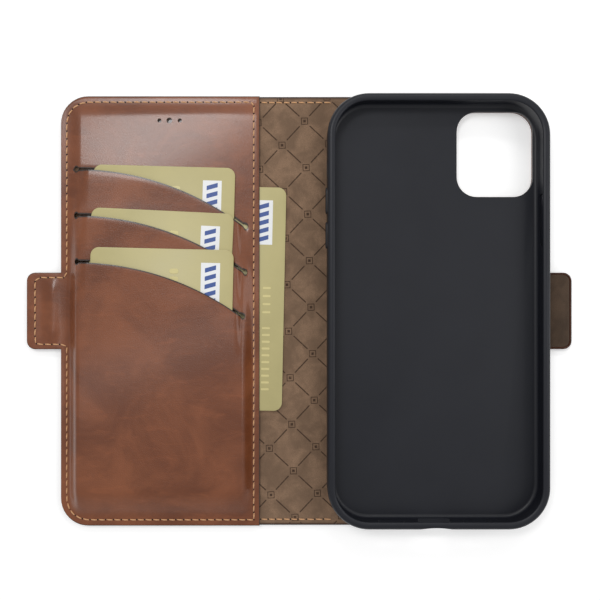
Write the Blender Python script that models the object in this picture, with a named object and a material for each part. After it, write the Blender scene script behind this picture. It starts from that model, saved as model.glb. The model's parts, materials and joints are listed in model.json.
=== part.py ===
"""Phone wallet case, lying open with its inside up.

Metres, +Z up, +X from the card flap towards the phone tray, +Y towards the phone's top edge.
The origin is the middle of the underside. The case is three leaves side by side, joined by two
creases: the flap with the card pockets, the narrow spine, and the back with the phone tray.
"""

import math

import bmesh
import bpy
import numpy as np
from mathutils import Matrix, Vector

# Cover outline
TAB_TIP_X = 0.1046
COVER_HALF_Y = 0.08235
CORNER_R = 0.0105
FLAP_LEFT_X = -0.0915
FLAP_CREASE_X = -0.0051
BACK_CREASE_X = 0.0100
BACK_RIGHT_X = 0.0934
HALF_CHANNEL = 0.0006
LINING_INSET = 0.0006
BOARD_INSET = 0.0035

# Layer thicknesses, from the outside of the cover upwards
GAP = 0.0001
LEATHER_T = 0.0010
BOARD_T = 0.0005
LINING_T = 0.0004
BOARD_Z = LEATHER_T + GAP
LINING_Z = BOARD_Z + BOARD_T + GAP
LINING_TOP = LINING_Z + LINING_T
INNER_Z = LINING_TOP + GAP

# Cards, to the usual bank card format
CARD_SHORT = 0.05398
CARD_LONG = 0.0856
CARD_T = 0.00076
CARD_R = 0.00318

# Card panel: one leather sheet with three curved slits, raised over the cards step by step
SHEET_T = 0.0005
PANEL_RIGHT_X = -0.0153
SIDE_CARD_Z = LINING_TOP + 0.00015
PANEL_LIFT = SIDE_CARD_Z + CARD_T + GAP - INNER_Z
CARD_STEP = SHEET_T + CARD_T + 2 * GAP
SLIT_R = 0.1057
SLIT_PITCH = 0.0178
SLIT_HALF_WIDTH = 0.00035
SLIT_HOLE_R = 0.0009
# Left end x, height of the left end, right end x, from the upper slit to the lower one
SLITS = ((-0.0854, 0.0543, -0.0206), (-0.0851, 0.0365, -0.0208), (-0.0844, 0.0187, -0.0216))
LINER_T = 0.0003

# Middle of the top edge and clockwise lean, for the upper, middle and lower card
SLOT_CARDS = ((-0.05145, 0.0552, 1.5), (-0.0518, 0.0381, 2.7), (-0.05175, 0.0236, 1.35))
SIDE_CARD = (-0.0320, 0.0478, 1.2)

# Sensor openings above the slits: x and radius
SENSOR_Y = 0.0729
SENSORS = ((-0.0536, 0.0008), (-0.0498, 0.0011), (-0.0458, 0.0008))

# Closure tabs
TAB_HALF_Y = 0.0147
TAB_R = 0.0032
TAB_HINGE_GAP = 0.0002
MAGNET_X = 0.0070
MAGNET_Y = 0.0180

# Seams
SEAM_INSET = 0.0023
SEAM_R = 0.00025
SEAM_CLEARANCE = 0.0004

# Phone tray, a soft moulding round a phone of 158 x 78 x 8.1 mm
ADHESIVE_T = 0.0002
TRAY_Z = INNER_Z + ADHESIVE_T + GAP
TRAY_X = (0.0104, 0.0932)
TRAY_HALF_Y = 0.0811
TRAY_R = 0.0155
TRAY_WALL = 0.0021
TRAY_FLOOR_Z = TRAY_Z + 0.0010
TRAY_TOP_Z = 0.0124
WINDOW_X = (0.0601, 0.0893)
WINDOW_Y = (0.0436, 0.0761)
WINDOW_R = 0.0076
BUTTON_Z = 0.0075
PAD_HALF_Z = 0.0016
PAD_PROUD = 0.0006
PAD_GAP = 0.0003
SIDE_BUTTON_Y = (0.0250, 0.0438)
VOLUME_UP_Y = (0.0365, 0.0465)
VOLUME_DOWN_Y = (0.0235, 0.0335)
MUTE_Y = (0.0500, 0.0578)
MUTE_HALF_Z = 0.0024
PORT_X = (0.0445, 0.0572)
PORT_Z = (0.0046, 0.0100)
SPEAKER_SLOTS = ((0.0295, 0.0400), (0.0617, 0.0722))
SPEAKER_HALF_Z = 0.0011


# ---------------------------------------------------------------- materials

def material(name, colour, roughness, metallic=0.0):
    """A Principled material of one colour."""
    made = bpy.data.materials.new(name)
    made.use_nodes = True
    shader = made.node_tree.nodes["Principled BSDF"]
    shader.inputs["Base Color"].default_value = (*colour, 1.0)
    shader.inputs["Roughness"].default_value = roughness
    shader.inputs["Metallic"].default_value = metallic
    return made


def all_materials():
    """Every finish of the case, by name."""
    return {
        "leather": material("tan_leather", (0.25, 0.09, 0.045), 0.42),
        "edge_leather": material("cover_leather", (0.16, 0.06, 0.03), 0.5),
        "lining": material("suede_lining", (0.15, 0.10, 0.065), 0.95),
        "board": material("grey_board", (0.35, 0.33, 0.30), 0.9),
        "liner": material("pocket_fabric", (0.06, 0.04, 0.03), 0.9),
        "thread": material("tan_thread", (0.52, 0.30, 0.14), 0.7),
        "tray": material("soft_black_plastic", (0.025, 0.027, 0.032), 0.5),
        "adhesive": material("adhesive_sheet", (0.6, 0.6, 0.58), 0.6),
        "magnet": material("plated_magnet", (0.5, 0.5, 0.5), 0.3, 1.0),
        "card": material("gold_card", (0.50, 0.44, 0.18), 0.35),
    }


# ---------------------------------------------------------------- shape tools

def smooth_step(value, low, high):
    """0 below low, 1 above high, and a smooth S between."""
    t = np.clip((np.asarray(value, float) - low) / (high - low), 0.0, 1.0)
    return t * t * (3.0 - 2.0 * t)


def rounded_outline(x_span, y_span, radii, steps=6):
    """Counter-clockwise outline of a rectangle with round corners.

    radii are for the left bottom, right bottom, right top and left top corners.
    """
    (x0, x1), (y0, y1) = x_span, y_span
    signs = ((1, 1), (-1, 1), (-1, -1), (1, -1))
    corners = ((x0, y0), (x1, y0), (x1, y1), (x0, y1))
    points = []
    for number, ((x, y), (sx, sy), radius) in enumerate(zip(corners, signs, radii)):
        if radius == 0:
            points.append((x, y))
            continue
        start = math.pi * (1 + number / 2)
        for step in range(steps + 1):
            angle = start + math.pi / 2 * step / steps
            points.append((
                x + sx * radius + radius * math.cos(angle),
                y + sy * radius + radius * math.sin(angle),
            ))
    return points


def turned_outline(points, centre, clockwise_degrees):
    """The outline turned about the Z axis, then moved to centre."""
    angle = -math.radians(clockwise_degrees)
    cos, sin = math.cos(angle), math.sin(angle)
    return [(centre[0] + x * cos - y * sin, centre[1] + x * sin + y * cos) for x, y in points]


def object_of(name, mesh, finish):
    """A named object with one finish, shaded smooth except over its sharp edges."""
    made = bpy.data.objects.new(name, mesh)
    bpy.context.scene.collection.objects.link(made)
    if finish:
        mesh.materials.append(finish)
    mesh.shade_smooth()
    mesh.set_sharp_from_angle(angle=math.radians(35))
    return made


def stack(name, rings, finish):
    """A closed solid from loops of equal length, each bridged to the next, capped at both ends."""
    form = bmesh.new()
    loops = [[form.verts.new(point) for point in ring] for ring in rings]
    for lower, upper in zip(loops, loops[1:]):
        for i in range(len(lower)):
            j = (i + 1) % len(lower)
            form.faces.new((lower[i], lower[j], upper[j], upper[i]))
    form.faces.new(reversed(loops[0]))
    form.faces.new(loops[-1])
    bmesh.ops.recalc_face_normals(form, faces=form.faces)
    mesh = bpy.data.meshes.new(name)
    form.to_mesh(mesh)
    form.free()
    return object_of(name, mesh, finish)


def plate(name, outline, z0, z1, finish):
    """A flat plate of the outline, from height z0 to z1."""
    return stack(name, [[(x, y, z) for x, y in outline] for z in (z0, z1)], finish)


def block(name, x_span, y_span, z_span, finish=None):
    """A plain box."""
    return plate(name, rounded_outline(x_span, y_span, (0, 0, 0, 0)), *z_span, finish)


def set_origin(part, point):
    """Moves the object's origin to the point and leaves its shape where it is."""
    part.data.transform(Matrix.Translation(-Vector(point)))
    part.location = point
    return part


def cut(part, cutters):
    """Cuts the helper solids out of the part, and keeps them as hidden wires."""
    for number, cutter in enumerate(cutters):
        cutter.hide_render = True
        cutter.display_type = "WIRE"
        modifier = part.modifiers.new(f"cut_{number}", "BOOLEAN")
        modifier.operation = "DIFFERENCE"
        modifier.solver = "EXACT"
        modifier.object = cutter
    return part


def seam(name, points, closed, finish):
    """A sewn thread as a thin round cord through the points."""
    curve = bpy.data.curves.new(name, "CURVE")
    curve.dimensions = "3D"
    spline = curve.splines.new("POLY")
    spline.points.add(len(points) - 1)
    for point, target in zip(points, spline.points):
        target.co = (*point, 1.0)
    spline.use_cyclic_u = closed
    curve.bevel_depth = SEAM_R
    curve.bevel_resolution = 1
    curve.use_fill_caps = not closed
    made = bpy.data.objects.new(name, curve)
    bpy.context.scene.collection.objects.link(made)
    curve.materials.append(finish)
    return made


# ---------------------------------------------------------------- cutters

def window_cutter(name, margin):
    """The camera window, wider by margin on each side, through the whole height."""
    spans = [(low - margin, high + margin) for low, high in (WINDOW_X, WINDOW_Y)]
    outline = rounded_outline(*spans, (WINDOW_R + margin,) * 4)
    return plate(name, outline, -0.001, 0.02, None)


def sensor_cutters():
    """Three round cutters for the earpiece and the sensors."""
    made = []
    for number, (x, radius) in enumerate(SENSORS):
        span = (x - radius, x + radius), (SENSOR_Y - radius, SENSOR_Y + radius)
        outline = rounded_outline(*span, (radius * 0.999,) * 4, steps=3)
        made.append(plate(f"sensor_cutter_{number}", outline, -0.001, 0.02, None))
    return made


# ---------------------------------------------------------------- card panel

def slit_line(number, x):
    """Height y of a slit: level at its left end, then an arc that falls to the right."""
    left, top, right = SLITS[number]
    run = np.clip(x - left, 0.0, right - left)
    return top - (SLIT_R - np.sqrt(SLIT_R**2 - run**2))


def slit_half_width(number, x):
    """Half the slit's opening: narrow along it, round at its two punched ends, closed outside."""
    left, _, right = SLITS[number]
    inside = SLIT_HALF_WIDTH if left <= x <= right else SLIT_HALF_WIDTH / 4
    reach = min(abs(x - left), abs(x - right))
    hole = math.sqrt(max(SLIT_HOLE_R**2 - reach**2, 0.0))
    return max(inside, hole)


def panel_lift(x, y, region):
    """How far the sheet's underside is above the lining.

    region counts the slits above the point. The edges lie flat on the lining. Inside them the
    sheet clears the side card, and each region clears one more card than the one above it. Past
    the ends of the slits the steps run together into one smooth slope.
    """
    left = smooth_step(x, -0.0889, -0.0835)
    ends = smooth_step(y, -0.0798, -0.0740) * (1 - smooth_step(y, 0.0740, 0.0798))
    base = PANEL_LIFT * left * ends
    heights = [slit_line(2, x) - SLIT_PITCH, slit_line(2, x), slit_line(1, x), slit_line(0, x)]
    slope = CARD_STEP * np.interp(y, heights, (3, 2, 1, 0))
    bulge = slope * smooth_step(x, -0.0892, -0.0832) * (1 - smooth_step(x, -0.0222, -0.0165))
    full = smooth_step(x, -0.0843, -0.0810) * (1 - smooth_step(x, -0.0239, -0.0219))
    bulge = bulge + full * (CARD_STEP * region - bulge)
    return base + bulge * smooth_step(y, -0.0795, -0.0675)


def panel_columns():
    """The x stations of the sheet's grid: close together at its margins and slit ends."""
    turn = FLAP_LEFT_X + CORNER_R * (1 - np.cos(np.linspace(0, math.pi / 2, 6)))
    ends = [end + SLIT_HOLE_R * side
            for left, _, right in SLITS for end in (left, right) for side in (-1, 0, 1)]
    middle = np.linspace(-0.0800, -0.0250, 10)
    margins = (-0.0892, -0.0875, -0.0824, -0.0239, -0.0232, -0.0180, -0.0165, PANEL_RIGHT_X)
    stations = np.unique(np.round(np.concatenate([turn, ends, middle, margins]), 5))
    kept = [stations[0]]
    for x in stations[1:]:
        if x - kept[-1] > 0.00025:
            kept.append(x)
    return kept


def panel_rows(x):
    """The y stations of one column, and the region each one is in, from bottom to top."""
    into_corner = min(x - FLAP_LEFT_X, CORNER_R)
    end = COVER_HALF_Y - (CORNER_R - math.sqrt(CORNER_R**2 - (CORNER_R - into_corner) ** 2))
    lips = [(slit_line(n, x) - slit_half_width(n, x), slit_line(n, x) + slit_half_width(n, x))
            for n in (2, 1, 0)]
    spans = ((-end, lips[0][0]), (lips[0][1], lips[1][0]), (lips[1][1], lips[2][0]),
             (lips[2][1], end))
    shares = ((0, 0.03, 0.06, 0.10, 0.15, 0.20, 0.4, 0.6, 0.8, 1), (0, 0.5, 1), (0, 0.5, 1),
              (0, 0.4, 0.75, 0.86, 0.95, 1))
    rows = []
    for region, ((low, high), parts) in enumerate(zip(spans, shares)):
        rows += [(low + (high - low) * part, 3 - region, part == 1) for part in parts]
    return rows


def card_panel(finish):
    """The leather sheet as a closed solid: two grids one thickness apart, joined round the edge
    and round each slit."""
    form = bmesh.new()
    columns = panel_columns()
    grid = []
    for x in columns:
        column = []
        for y, region, last in panel_rows(x):
            z = INNER_Z + float(panel_lift(x, y, region))
            column.append((form.verts.new((x, y, z)), form.verts.new((x, y, z + SHEET_T)), last))
        grid.append(column)
    slit_rows = [row for row, entry in enumerate(grid[0][:-1]) if entry[2]]
    solid = np.ones((len(columns) - 1, len(grid[0]) - 1), bool)
    for row, number in zip(slit_rows, (2, 1, 0)):
        left, _, right = SLITS[number]
        for i, (a, b) in enumerate(zip(columns, columns[1:])):
            middle = (a + b) / 2
            solid[i, row] = not left - SLIT_HOLE_R < middle < right + SLIT_HOLE_R
    padded = np.pad(solid, 1)
    for i, j in np.argwhere(solid):
        corner = [grid[i][j], grid[i + 1][j], grid[i + 1][j + 1], grid[i][j + 1]]
        form.faces.new([entry[1] for entry in corner])
        form.faces.new([entry[0] for entry in reversed(corner)])
        near = (padded[i + 1, j], padded[i + 2, j + 1], padded[i + 1, j + 2], padded[i, j + 1])
        for side, neighbour in enumerate(near):
            if not neighbour:
                a, b = corner[side], corner[(side + 1) % 4]
                form.faces.new((a[0], b[0], b[1], a[1]))
    bmesh.ops.triangulate(form, faces=form.faces)
    mesh = bpy.data.meshes.new("card_panel")
    form.to_mesh(mesh)
    form.free()
    return object_of("card_panel", mesh, finish)


def pocket_liner(name, number, bottom_y, finish):
    """Fabric behind one slit: it starts under the slit and ends below its card."""
    xs = np.linspace(-0.0795, -0.0250, 8)
    top = [(x, float(slit_line(number, x)) - 0.0012) for x in xs[::-1]]
    outline = [(xs[0], bottom_y), (xs[-1], bottom_y), *top]
    z = INNER_Z + PANEL_LIFT + CARD_STEP * number + GAP
    return plate(name, outline, z, z + LINER_T, finish)


def flap_seam_points():
    """Round the panel, one seam inset inside its edge, lying on the sheet."""
    inset = SEAM_INSET
    outline = rounded_outline(
        (FLAP_LEFT_X + inset, PANEL_RIGHT_X - inset), (-COVER_HALF_Y + inset, COVER_HALF_Y - inset),
        (CORNER_R - inset, 0, 0, CORNER_R - inset))
    lift = INNER_Z + SHEET_T + SEAM_R + SEAM_CLEARANCE
    points = []
    for (x0, y0), (x1, y1) in zip(outline, outline[1:] + outline[:1]):
        count = max(1, round(math.hypot(x1 - x0, y1 - y0) / 0.011))
        for part in np.arange(count) / count:
            x, y = x0 + (x1 - x0) * part, y0 + (y1 - y0) * part
            region = sum(y < slit_line(n, x) for n in range(3))
            points.append((x, y, lift + float(panel_lift(x, y, region))))
    return points


# ---------------------------------------------------------------- leaves

def leaf(prefix, x_span, round_left, round_right, finishes):
    """Outer leather and lining of one leaf. round_left and round_right are corner radii."""
    radii = (round_left, round_right, round_right, round_left)
    leather = plate(f"{prefix}_outer_leather", rounded_outline(
        x_span, (-COVER_HALF_Y, COVER_HALF_Y), radii), 0.0, LEATHER_T, finishes["edge_leather"])
    inset = LINING_INSET
    span = (x_span[0] + (inset if round_left else 0), x_span[1] - (inset if round_right else 0))
    inner = [max(radius - inset, 0) for radius in radii]
    lining = plate(f"{prefix}_lining", rounded_outline(
        span, (-COVER_HALF_Y + inset, COVER_HALF_Y - inset), inner),
        LINING_Z, LINING_TOP, finishes["lining"])
    return leather, lining


def board(name, x_span, finish):
    """The stiff board of a leaf, between its leather and its lining."""
    half_y = COVER_HALF_Y - BOARD_INSET
    span = (x_span[0] + BOARD_INSET, x_span[1] - BOARD_INSET)
    return plate(name, rounded_outline(span, (-half_y, half_y), (0.004,) * 4, steps=3),
                 BOARD_Z, BOARD_Z + BOARD_T, finish)


def make_flap(finishes):
    """The leaf with the card pockets."""
    span = (FLAP_LEFT_X, FLAP_CREASE_X - HALF_CHANNEL)
    leather, lining = leaf("flap", span, CORNER_R, 0, finishes)
    stiff = board("flap_board", span, finishes["board"])
    panel = card_panel(finishes["leather"])
    sensors = sensor_cutters()
    for part in (leather, lining, stiff, panel):
        cut(part, sensors)
    bottoms = (-0.0325, -0.0500, -0.0640)
    for number, place in enumerate(("upper", "middle", "lower")):
        pocket_liner(f"pocket_liner_{place}", number, bottoms[number], finishes["liner"])
    seam("flap_seam", flap_seam_points(), True, finishes["thread"])


def make_spine(finishes):
    """The narrow leaf between the two creases, with a short seam at each end."""
    span = (FLAP_CREASE_X + HALF_CHANNEL, BACK_CREASE_X - HALF_CHANNEL)
    leaf("spine", span, 0, 0, finishes)
    z = LINING_TOP + SEAM_R + GAP
    for name, side in (("spine_seam_top", 1), ("spine_seam_bottom", -1)):
        y = side * (COVER_HALF_Y - SEAM_INSET)
        seam(name, [(span[0] + 0.001, y, z), (span[1] - 0.001, y, z)], False, finishes["thread"])


def make_back(finishes):
    """The leaf that carries the phone tray, with the camera window through all its layers."""
    span = (BACK_CREASE_X + HALF_CHANNEL, BACK_RIGHT_X)
    leather, lining = leaf("back", span, 0, CORNER_R, finishes)
    stiff = board("back_board", span, finishes["board"])
    inset = 0.004
    glue = plate("tray_adhesive", rounded_outline(
        (TRAY_X[0] + inset, TRAY_X[1] - inset), (-TRAY_HALF_Y + inset, TRAY_HALF_Y - inset),
        (TRAY_R - inset,) * 4), INNER_Z, INNER_Z + ADHESIVE_T, finishes["adhesive"])
    window = window_cutter("cover_window_cutter", 0.0005)
    for part in (leather, lining, stiff, glue):
        cut(part, [window])


# ---------------------------------------------------------------- phone tray

def tray_rings():
    """Loops of the tray's section: up the outside, over the rim, under the lip, down to the floor.

    Each pair is the inset from the outer face and the height.
    """
    wall, floor, top = TRAY_WALL, TRAY_FLOOR_Z, TRAY_TOP_Z
    section = (
        (0.0012, TRAY_Z), (0.00035, TRAY_Z + 0.00035), (0.0, TRAY_Z + 0.0012),
        (0.0, top - 0.0018), (0.00035, top - 0.0007), (0.0011, top - 0.0001), (0.0019, top),
        (0.0027, top - 0.00015), (0.0031, top - 0.0005), (0.0030, top - 0.0008),
        (wall, top - 0.0010), (wall, floor + 0.0011), (wall + 0.0004, floor + 0.0003),
        (wall + 0.0012, floor),
    )
    for inset, z in section:
        outline = rounded_outline(
            (TRAY_X[0] + inset, TRAY_X[1] - inset), (-TRAY_HALF_Y + inset, TRAY_HALF_Y - inset),
            (TRAY_R - inset,) * 4, steps=8)
        yield [(x, y, z) for x, y in outline]


def wall_cutter(name, side, y_span, half_z):
    """A box through the tray's left (-1) or right (1) wall."""
    face = TRAY_X[0] if side < 0 else TRAY_X[1]
    return block(name, (face - 0.004, face + 0.004), y_span, (BUTTON_Z - half_z, BUTTON_Z + half_z))


def button_pad(name, side, y_span, finish):
    """A push pad in the tray's wall, proud of its outer face, with its origin on its slide axis."""
    face = TRAY_X[0] if side < 0 else TRAY_X[1]
    x_span = sorted((face - side * (TRAY_WALL - GAP), face + side * PAD_PROUD))
    pad = block(name, x_span, y_span, (BUTTON_Z - PAD_HALF_Z, BUTTON_Z + PAD_HALF_Z), finish)
    return set_origin(pad, (face, sum(y_span) / 2, BUTTON_Z))


def make_tray(finishes):
    """The moulded tray, its three button pads, and the openings in its walls and floor."""
    tray = stack("phone_tray", list(tray_rings()), finishes["tray"])
    cutters = [window_cutter("tray_window_cutter", 0.0)]
    pads = (("side_button_pad", 1, SIDE_BUTTON_Y), ("volume_up_pad", -1, VOLUME_UP_Y),
            ("volume_down_pad", -1, VOLUME_DOWN_Y))
    for name, side, (low, high) in pads:
        button_pad(name, side, (low, high), finishes["tray"])
        cutters.append(wall_cutter(f"{name}_cutter", side, (low - PAD_GAP, high + PAD_GAP),
                                   PAD_HALF_Z + PAD_GAP))
    cutters.append(wall_cutter("mute_cutter", -1, MUTE_Y, MUTE_HALF_Z))
    bottom = (-TRAY_HALF_Y - 0.002, -TRAY_HALF_Y + TRAY_WALL + 0.0025)
    cutters.append(block("port_cutter", PORT_X, bottom, PORT_Z))
    for number, x_span in enumerate(SPEAKER_SLOTS):
        height = (BUTTON_Z - SPEAKER_HALF_Z, BUTTON_Z + SPEAKER_HALF_Z)
        cutters.append(block(f"speaker_cutter_{number}", x_span, bottom, height))
    cut(tray, cutters)


# ---------------------------------------------------------------- closure tabs

def tab_outline(side, hinge_x, inset=0.0):
    """Outline of a tab: square at its hinge, round at its tip."""
    tip = side * (TAB_TIP_X - inset)
    root = hinge_x + side * (TAB_HINGE_GAP + inset)
    radius = TAB_R - inset
    radii = (0, radius, radius, 0) if side > 0 else (radius, 0, 0, radius)
    half_y = TAB_HALF_Y - inset
    return rounded_outline(sorted((root, tip)), (-half_y, half_y), radii, steps=4)


def make_tab(prefix, side, hinge_x, core_t, inner_t, inner_name, finishes):
    """One closure tab: leather, a filler round the magnet, the magnet, and the inner face.

    Each piece has its origin on the tab's hinge, at the top of the inner face.
    """
    core_z = LEATHER_T + GAP
    inner_z = core_z + core_t + GAP
    hinge = (hinge_x, 0.0, inner_z + inner_t)
    middle_x = (hinge_x + side * TAB_TIP_X) / 2
    half_x, half_y = MAGNET_X / 2, MAGNET_Y / 2
    pocket = block(f"{prefix}_magnet_cutter", (middle_x - half_x - GAP, middle_x + half_x + GAP),
                   (-half_y - GAP, half_y + GAP), (0.0, inner_z))
    filler = plate(f"{prefix}_filler", tab_outline(side, hinge_x, 0.0008), core_z,
                   core_z + core_t, finishes["board"])
    parts = [
        plate(f"{prefix}_leather", tab_outline(side, hinge_x), 0.0, LEATHER_T,
              finishes["edge_leather"]),
        cut(filler, [pocket]),
        block(f"{prefix}_magnet", (middle_x - half_x, middle_x + half_x), (-half_y, half_y),
              (core_z, core_z + core_t), finishes["magnet"]),
        plate(f"{prefix}_{inner_name}", tab_outline(side, hinge_x, 0.0002), inner_z,
              inner_z + inner_t, finishes["leather" if side < 0 else "lining"]),
    ]
    for part in parts:
        set_origin(part, hinge)
    return hinge[2]


def make_tabs(finishes):
    """The flap's tab, with a sewn leather face, and the back's tab, with a suede face."""
    flap_hinge_x = FLAP_LEFT_X - TAB_HINGE_GAP
    back_hinge_x = BACK_RIGHT_X + TAB_HINGE_GAP
    top = make_tab("flap_tab", -1, flap_hinge_x, 0.0010, SHEET_T, "inner_leather", finishes)
    make_tab("back_tab", 1, back_hinge_x, 0.0006, LINING_T, "lining", finishes)
    outline = tab_outline(-1, flap_hinge_x, 0.0024)
    z = top + SEAM_R + GAP
    seam("flap_tab_seam", [(x, y, z) for x, y in outline], True, finishes["thread"])


# ---------------------------------------------------------------- cards

def card_at(name, centre, lean, z, finish):
    """A card standing on its short side, leaning clockwise, with its origin at its centre."""
    half_x, half_y = CARD_SHORT / 2, CARD_LONG / 2
    outline = rounded_outline((-half_x, half_x), (-half_y, half_y), (CARD_R,) * 4, steps=4)
    card = plate(name, turned_outline(outline, centre, lean), z, z + CARD_T, finish)
    return set_origin(card, (*centre, z + CARD_T / 2))


def below_top(top_x, top_y, lean):
    """Centre of a card whose top edge has its middle at the given point."""
    angle = math.radians(lean)
    return top_x - CARD_LONG / 2 * math.sin(angle), top_y - CARD_LONG / 2 * math.cos(angle)


def make_cards(finishes):
    """Three cards in the slits, and one in the side pocket behind the card panel."""
    for number, place in enumerate(("upper", "middle", "lower")):
        x, y, lean = SLOT_CARDS[number]
        z = INNER_Z + PANEL_LIFT + CARD_STEP * number + SHEET_T + GAP
        card_at(f"card_{place}", below_top(x, y, lean), lean, z, finishes["card"])
    x, y, lean = SIDE_CARD
    card_at("card_side", below_top(x, y, lean), lean, SIDE_CARD_Z, finishes["card"])


# ---------------------------------------------------------------- the case

def main():
    for old in list(bpy.data.objects):
        bpy.data.objects.remove(old)
    finishes = all_materials()
    make_flap(finishes)
    make_spine(finishes)
    make_back(finishes)
    make_tray(finishes)
    make_tabs(finishes)
    make_cards(finishes)


main()
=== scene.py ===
"""Phone wallet case, lying open on its back: a leather flap with card slits, a soft tray for the
phone, and two magnetic tabs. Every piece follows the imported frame, in metres, with +Z up."""

import json
import math

import bpy
import numpy as np
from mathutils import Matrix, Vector

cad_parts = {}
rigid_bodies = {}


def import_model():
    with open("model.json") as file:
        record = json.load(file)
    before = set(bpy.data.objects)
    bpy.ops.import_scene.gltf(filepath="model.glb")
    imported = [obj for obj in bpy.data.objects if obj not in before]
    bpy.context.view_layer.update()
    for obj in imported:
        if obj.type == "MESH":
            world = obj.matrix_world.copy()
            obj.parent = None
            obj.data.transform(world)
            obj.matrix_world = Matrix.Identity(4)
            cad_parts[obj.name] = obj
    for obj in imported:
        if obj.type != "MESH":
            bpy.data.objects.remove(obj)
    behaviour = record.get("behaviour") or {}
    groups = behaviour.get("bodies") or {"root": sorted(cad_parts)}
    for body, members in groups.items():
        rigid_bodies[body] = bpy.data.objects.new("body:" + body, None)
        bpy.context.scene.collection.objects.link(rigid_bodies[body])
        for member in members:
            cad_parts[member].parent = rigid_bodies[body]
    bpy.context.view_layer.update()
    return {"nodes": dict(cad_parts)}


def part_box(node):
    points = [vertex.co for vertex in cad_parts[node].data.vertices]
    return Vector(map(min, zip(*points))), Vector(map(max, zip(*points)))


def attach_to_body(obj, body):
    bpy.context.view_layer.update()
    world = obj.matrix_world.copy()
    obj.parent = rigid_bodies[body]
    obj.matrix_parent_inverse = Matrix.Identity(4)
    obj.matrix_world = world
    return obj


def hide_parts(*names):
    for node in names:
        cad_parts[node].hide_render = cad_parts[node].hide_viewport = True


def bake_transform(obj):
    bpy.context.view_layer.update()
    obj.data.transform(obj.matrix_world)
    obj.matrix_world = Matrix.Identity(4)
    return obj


bl_info = {
    "name": "Phone wallet case",
    "version": (1, 0, 0),
    "blender": (4, 5, 0),
    "location": "3D View > Sidebar > Wallet case",
    "description": "Builds an open leather phone wallet with cards, lining, tray and closing tabs",
    "category": "Add Mesh",
}

for startup_object in list(bpy.data.objects):
    bpy.data.objects.remove(startup_object)
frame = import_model()
MM = 0.001


# ---------------------------------------------------------------- places, from the frame

def span(node, axis):
    """Lowest and highest place of a node along one axis."""
    low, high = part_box(node)
    return low[axis], high[axis]


FLAP_X = span("flap_outer_leather", 0)
SPINE_X = span("spine_outer_leather", 0)
BACK_X = span("back_outer_leather", 0)
HALF_Y = span("flap_outer_leather", 1)[1]
LEATHER_Z = span("flap_outer_leather", 2)
LINING_Z = span("flap_lining", 2)
PANEL_X = span("card_panel", 0)
PANEL_Z = span("card_panel", 2)[0]
FLAP_TAB_X = span("flap_tab_leather", 0)
BACK_TAB_X = span("back_tab_leather", 0)
TAB_HALF_Y = span("flap_tab_leather", 1)[1]
TRAY_LOW, TRAY_HIGH = (np.array(corner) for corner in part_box("phone_tray"))
FLAP_CREASE = (FLAP_X[1] + SPINE_X[0]) / 2
BACK_CREASE = (SPINE_X[1] + BACK_X[0]) / 2
SPINE_MIDDLE = (FLAP_CREASE + BACK_CREASE) / 2

CORNER_R = 10.5 * MM
TAB_R = 3.2 * MM
SHEET_T = 0.5 * MM
STITCH_INSET = 2.3 * MM
TRAY_R = 15.5 * MM
WINDOW_X = (60.1 * MM, 89.3 * MM)
WINDOW_Y = (43.6 * MM, 76.1 * MM)
WINDOW_R = 7.6 * MM
# The leather and the suede stand back from the tray's window by this much.
WINDOW_MARGIN = 0.5 * MM
# Heights between which a cutter passes right through the case.
THROUGH_Z = (-2 * MM, 20 * MM)
SLIT_R = 105.7 * MM
SLIT_PITCH = 17.8 * MM
SLIT_HALF_WIDTH = 0.35 * MM
SLIT_HOLE_R = 0.9 * MM
# Left end x, height there, and right end x of each slit, from the top one down.
SLITS = ((-85.4 * MM, 54.3 * MM, -20.6 * MM), (-85.1 * MM, 36.5 * MM, -20.8 * MM),
         (-84.4 * MM, 18.7 * MM, -21.6 * MM))
SENSOR_Y = 72.9 * MM
SENSORS = ((-53.6 * MM, 0.8 * MM), (-49.8 * MM, 1.1 * MM), (-45.8 * MM, 0.8 * MM))
PANEL_LIFT = 0.91 * MM
CARD_STEP = 1.46 * MM
CARD_SIZE = (53.98 * MM, 85.6 * MM)
CARD_R = 3.18 * MM
# The middle of each card's top edge, and how far the card leans clockwise, in degrees.
CARD_TOPS = {
    "upper": (-51.45 * MM, 55.2 * MM, 1.5),
    "middle": (-51.8 * MM, 38.1 * MM, 2.7),
    "lower": (-51.75 * MM, 23.6 * MM, 1.35),
    "side": (-32.0 * MM, 47.8 * MM, 1.2),
}


# ---------------------------------------------------------------- settings that a user may change

def colour(name, description, default):
    """A colour setting in linear light."""
    return bpy.props.FloatVectorProperty(
        name=name, description=description, subtype="COLOR", size=3, min=0, max=1, default=default)


def size(name, description, default):
    """A length setting in metres."""
    return bpy.props.FloatProperty(
        name=name, description=description, default=default, min=0, unit="LENGTH", precision=5)


def amount(name, description, default, low=0.0, high=1.0):
    """A plain number setting."""
    return bpy.props.FloatProperty(
        name=name, description=description, default=default, min=low, max=high)


class LeatherSettings(bpy.types.PropertyGroup):
    """Smooth tan leather, its grain and its painted edge."""

    tan: colour("Tan", "Colour where the leather is palest", (0.238, 0.072, 0.025))
    brown: colour("Brown", "Colour where the leather is darkest", (0.142, 0.038, 0.011))
    cover: colour("Cover", "Colour of the outside of the case", (0.120, 0.042, 0.020))
    paint: colour("Edge paint", "Colour of the painted edge", (0.030, 0.016, 0.012))
    pebble: size("Grain", "Width of one pebble of the grain", 0.8 * MM)
    gloss: amount("Gloss", "Strength of the polished top coat", 0.55)


class StitchSettings(bpy.types.PropertyGroup):
    """Lock stitches in waxed thread."""

    thread: colour("Thread", "Colour of the thread", (0.720, 0.400, 0.200))
    pitch: size("Pitch", "Distance from one needle hole to the next", 3.0 * MM)
    radius: size("Radius", "Radius of the thread", 0.26 * MM)


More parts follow.
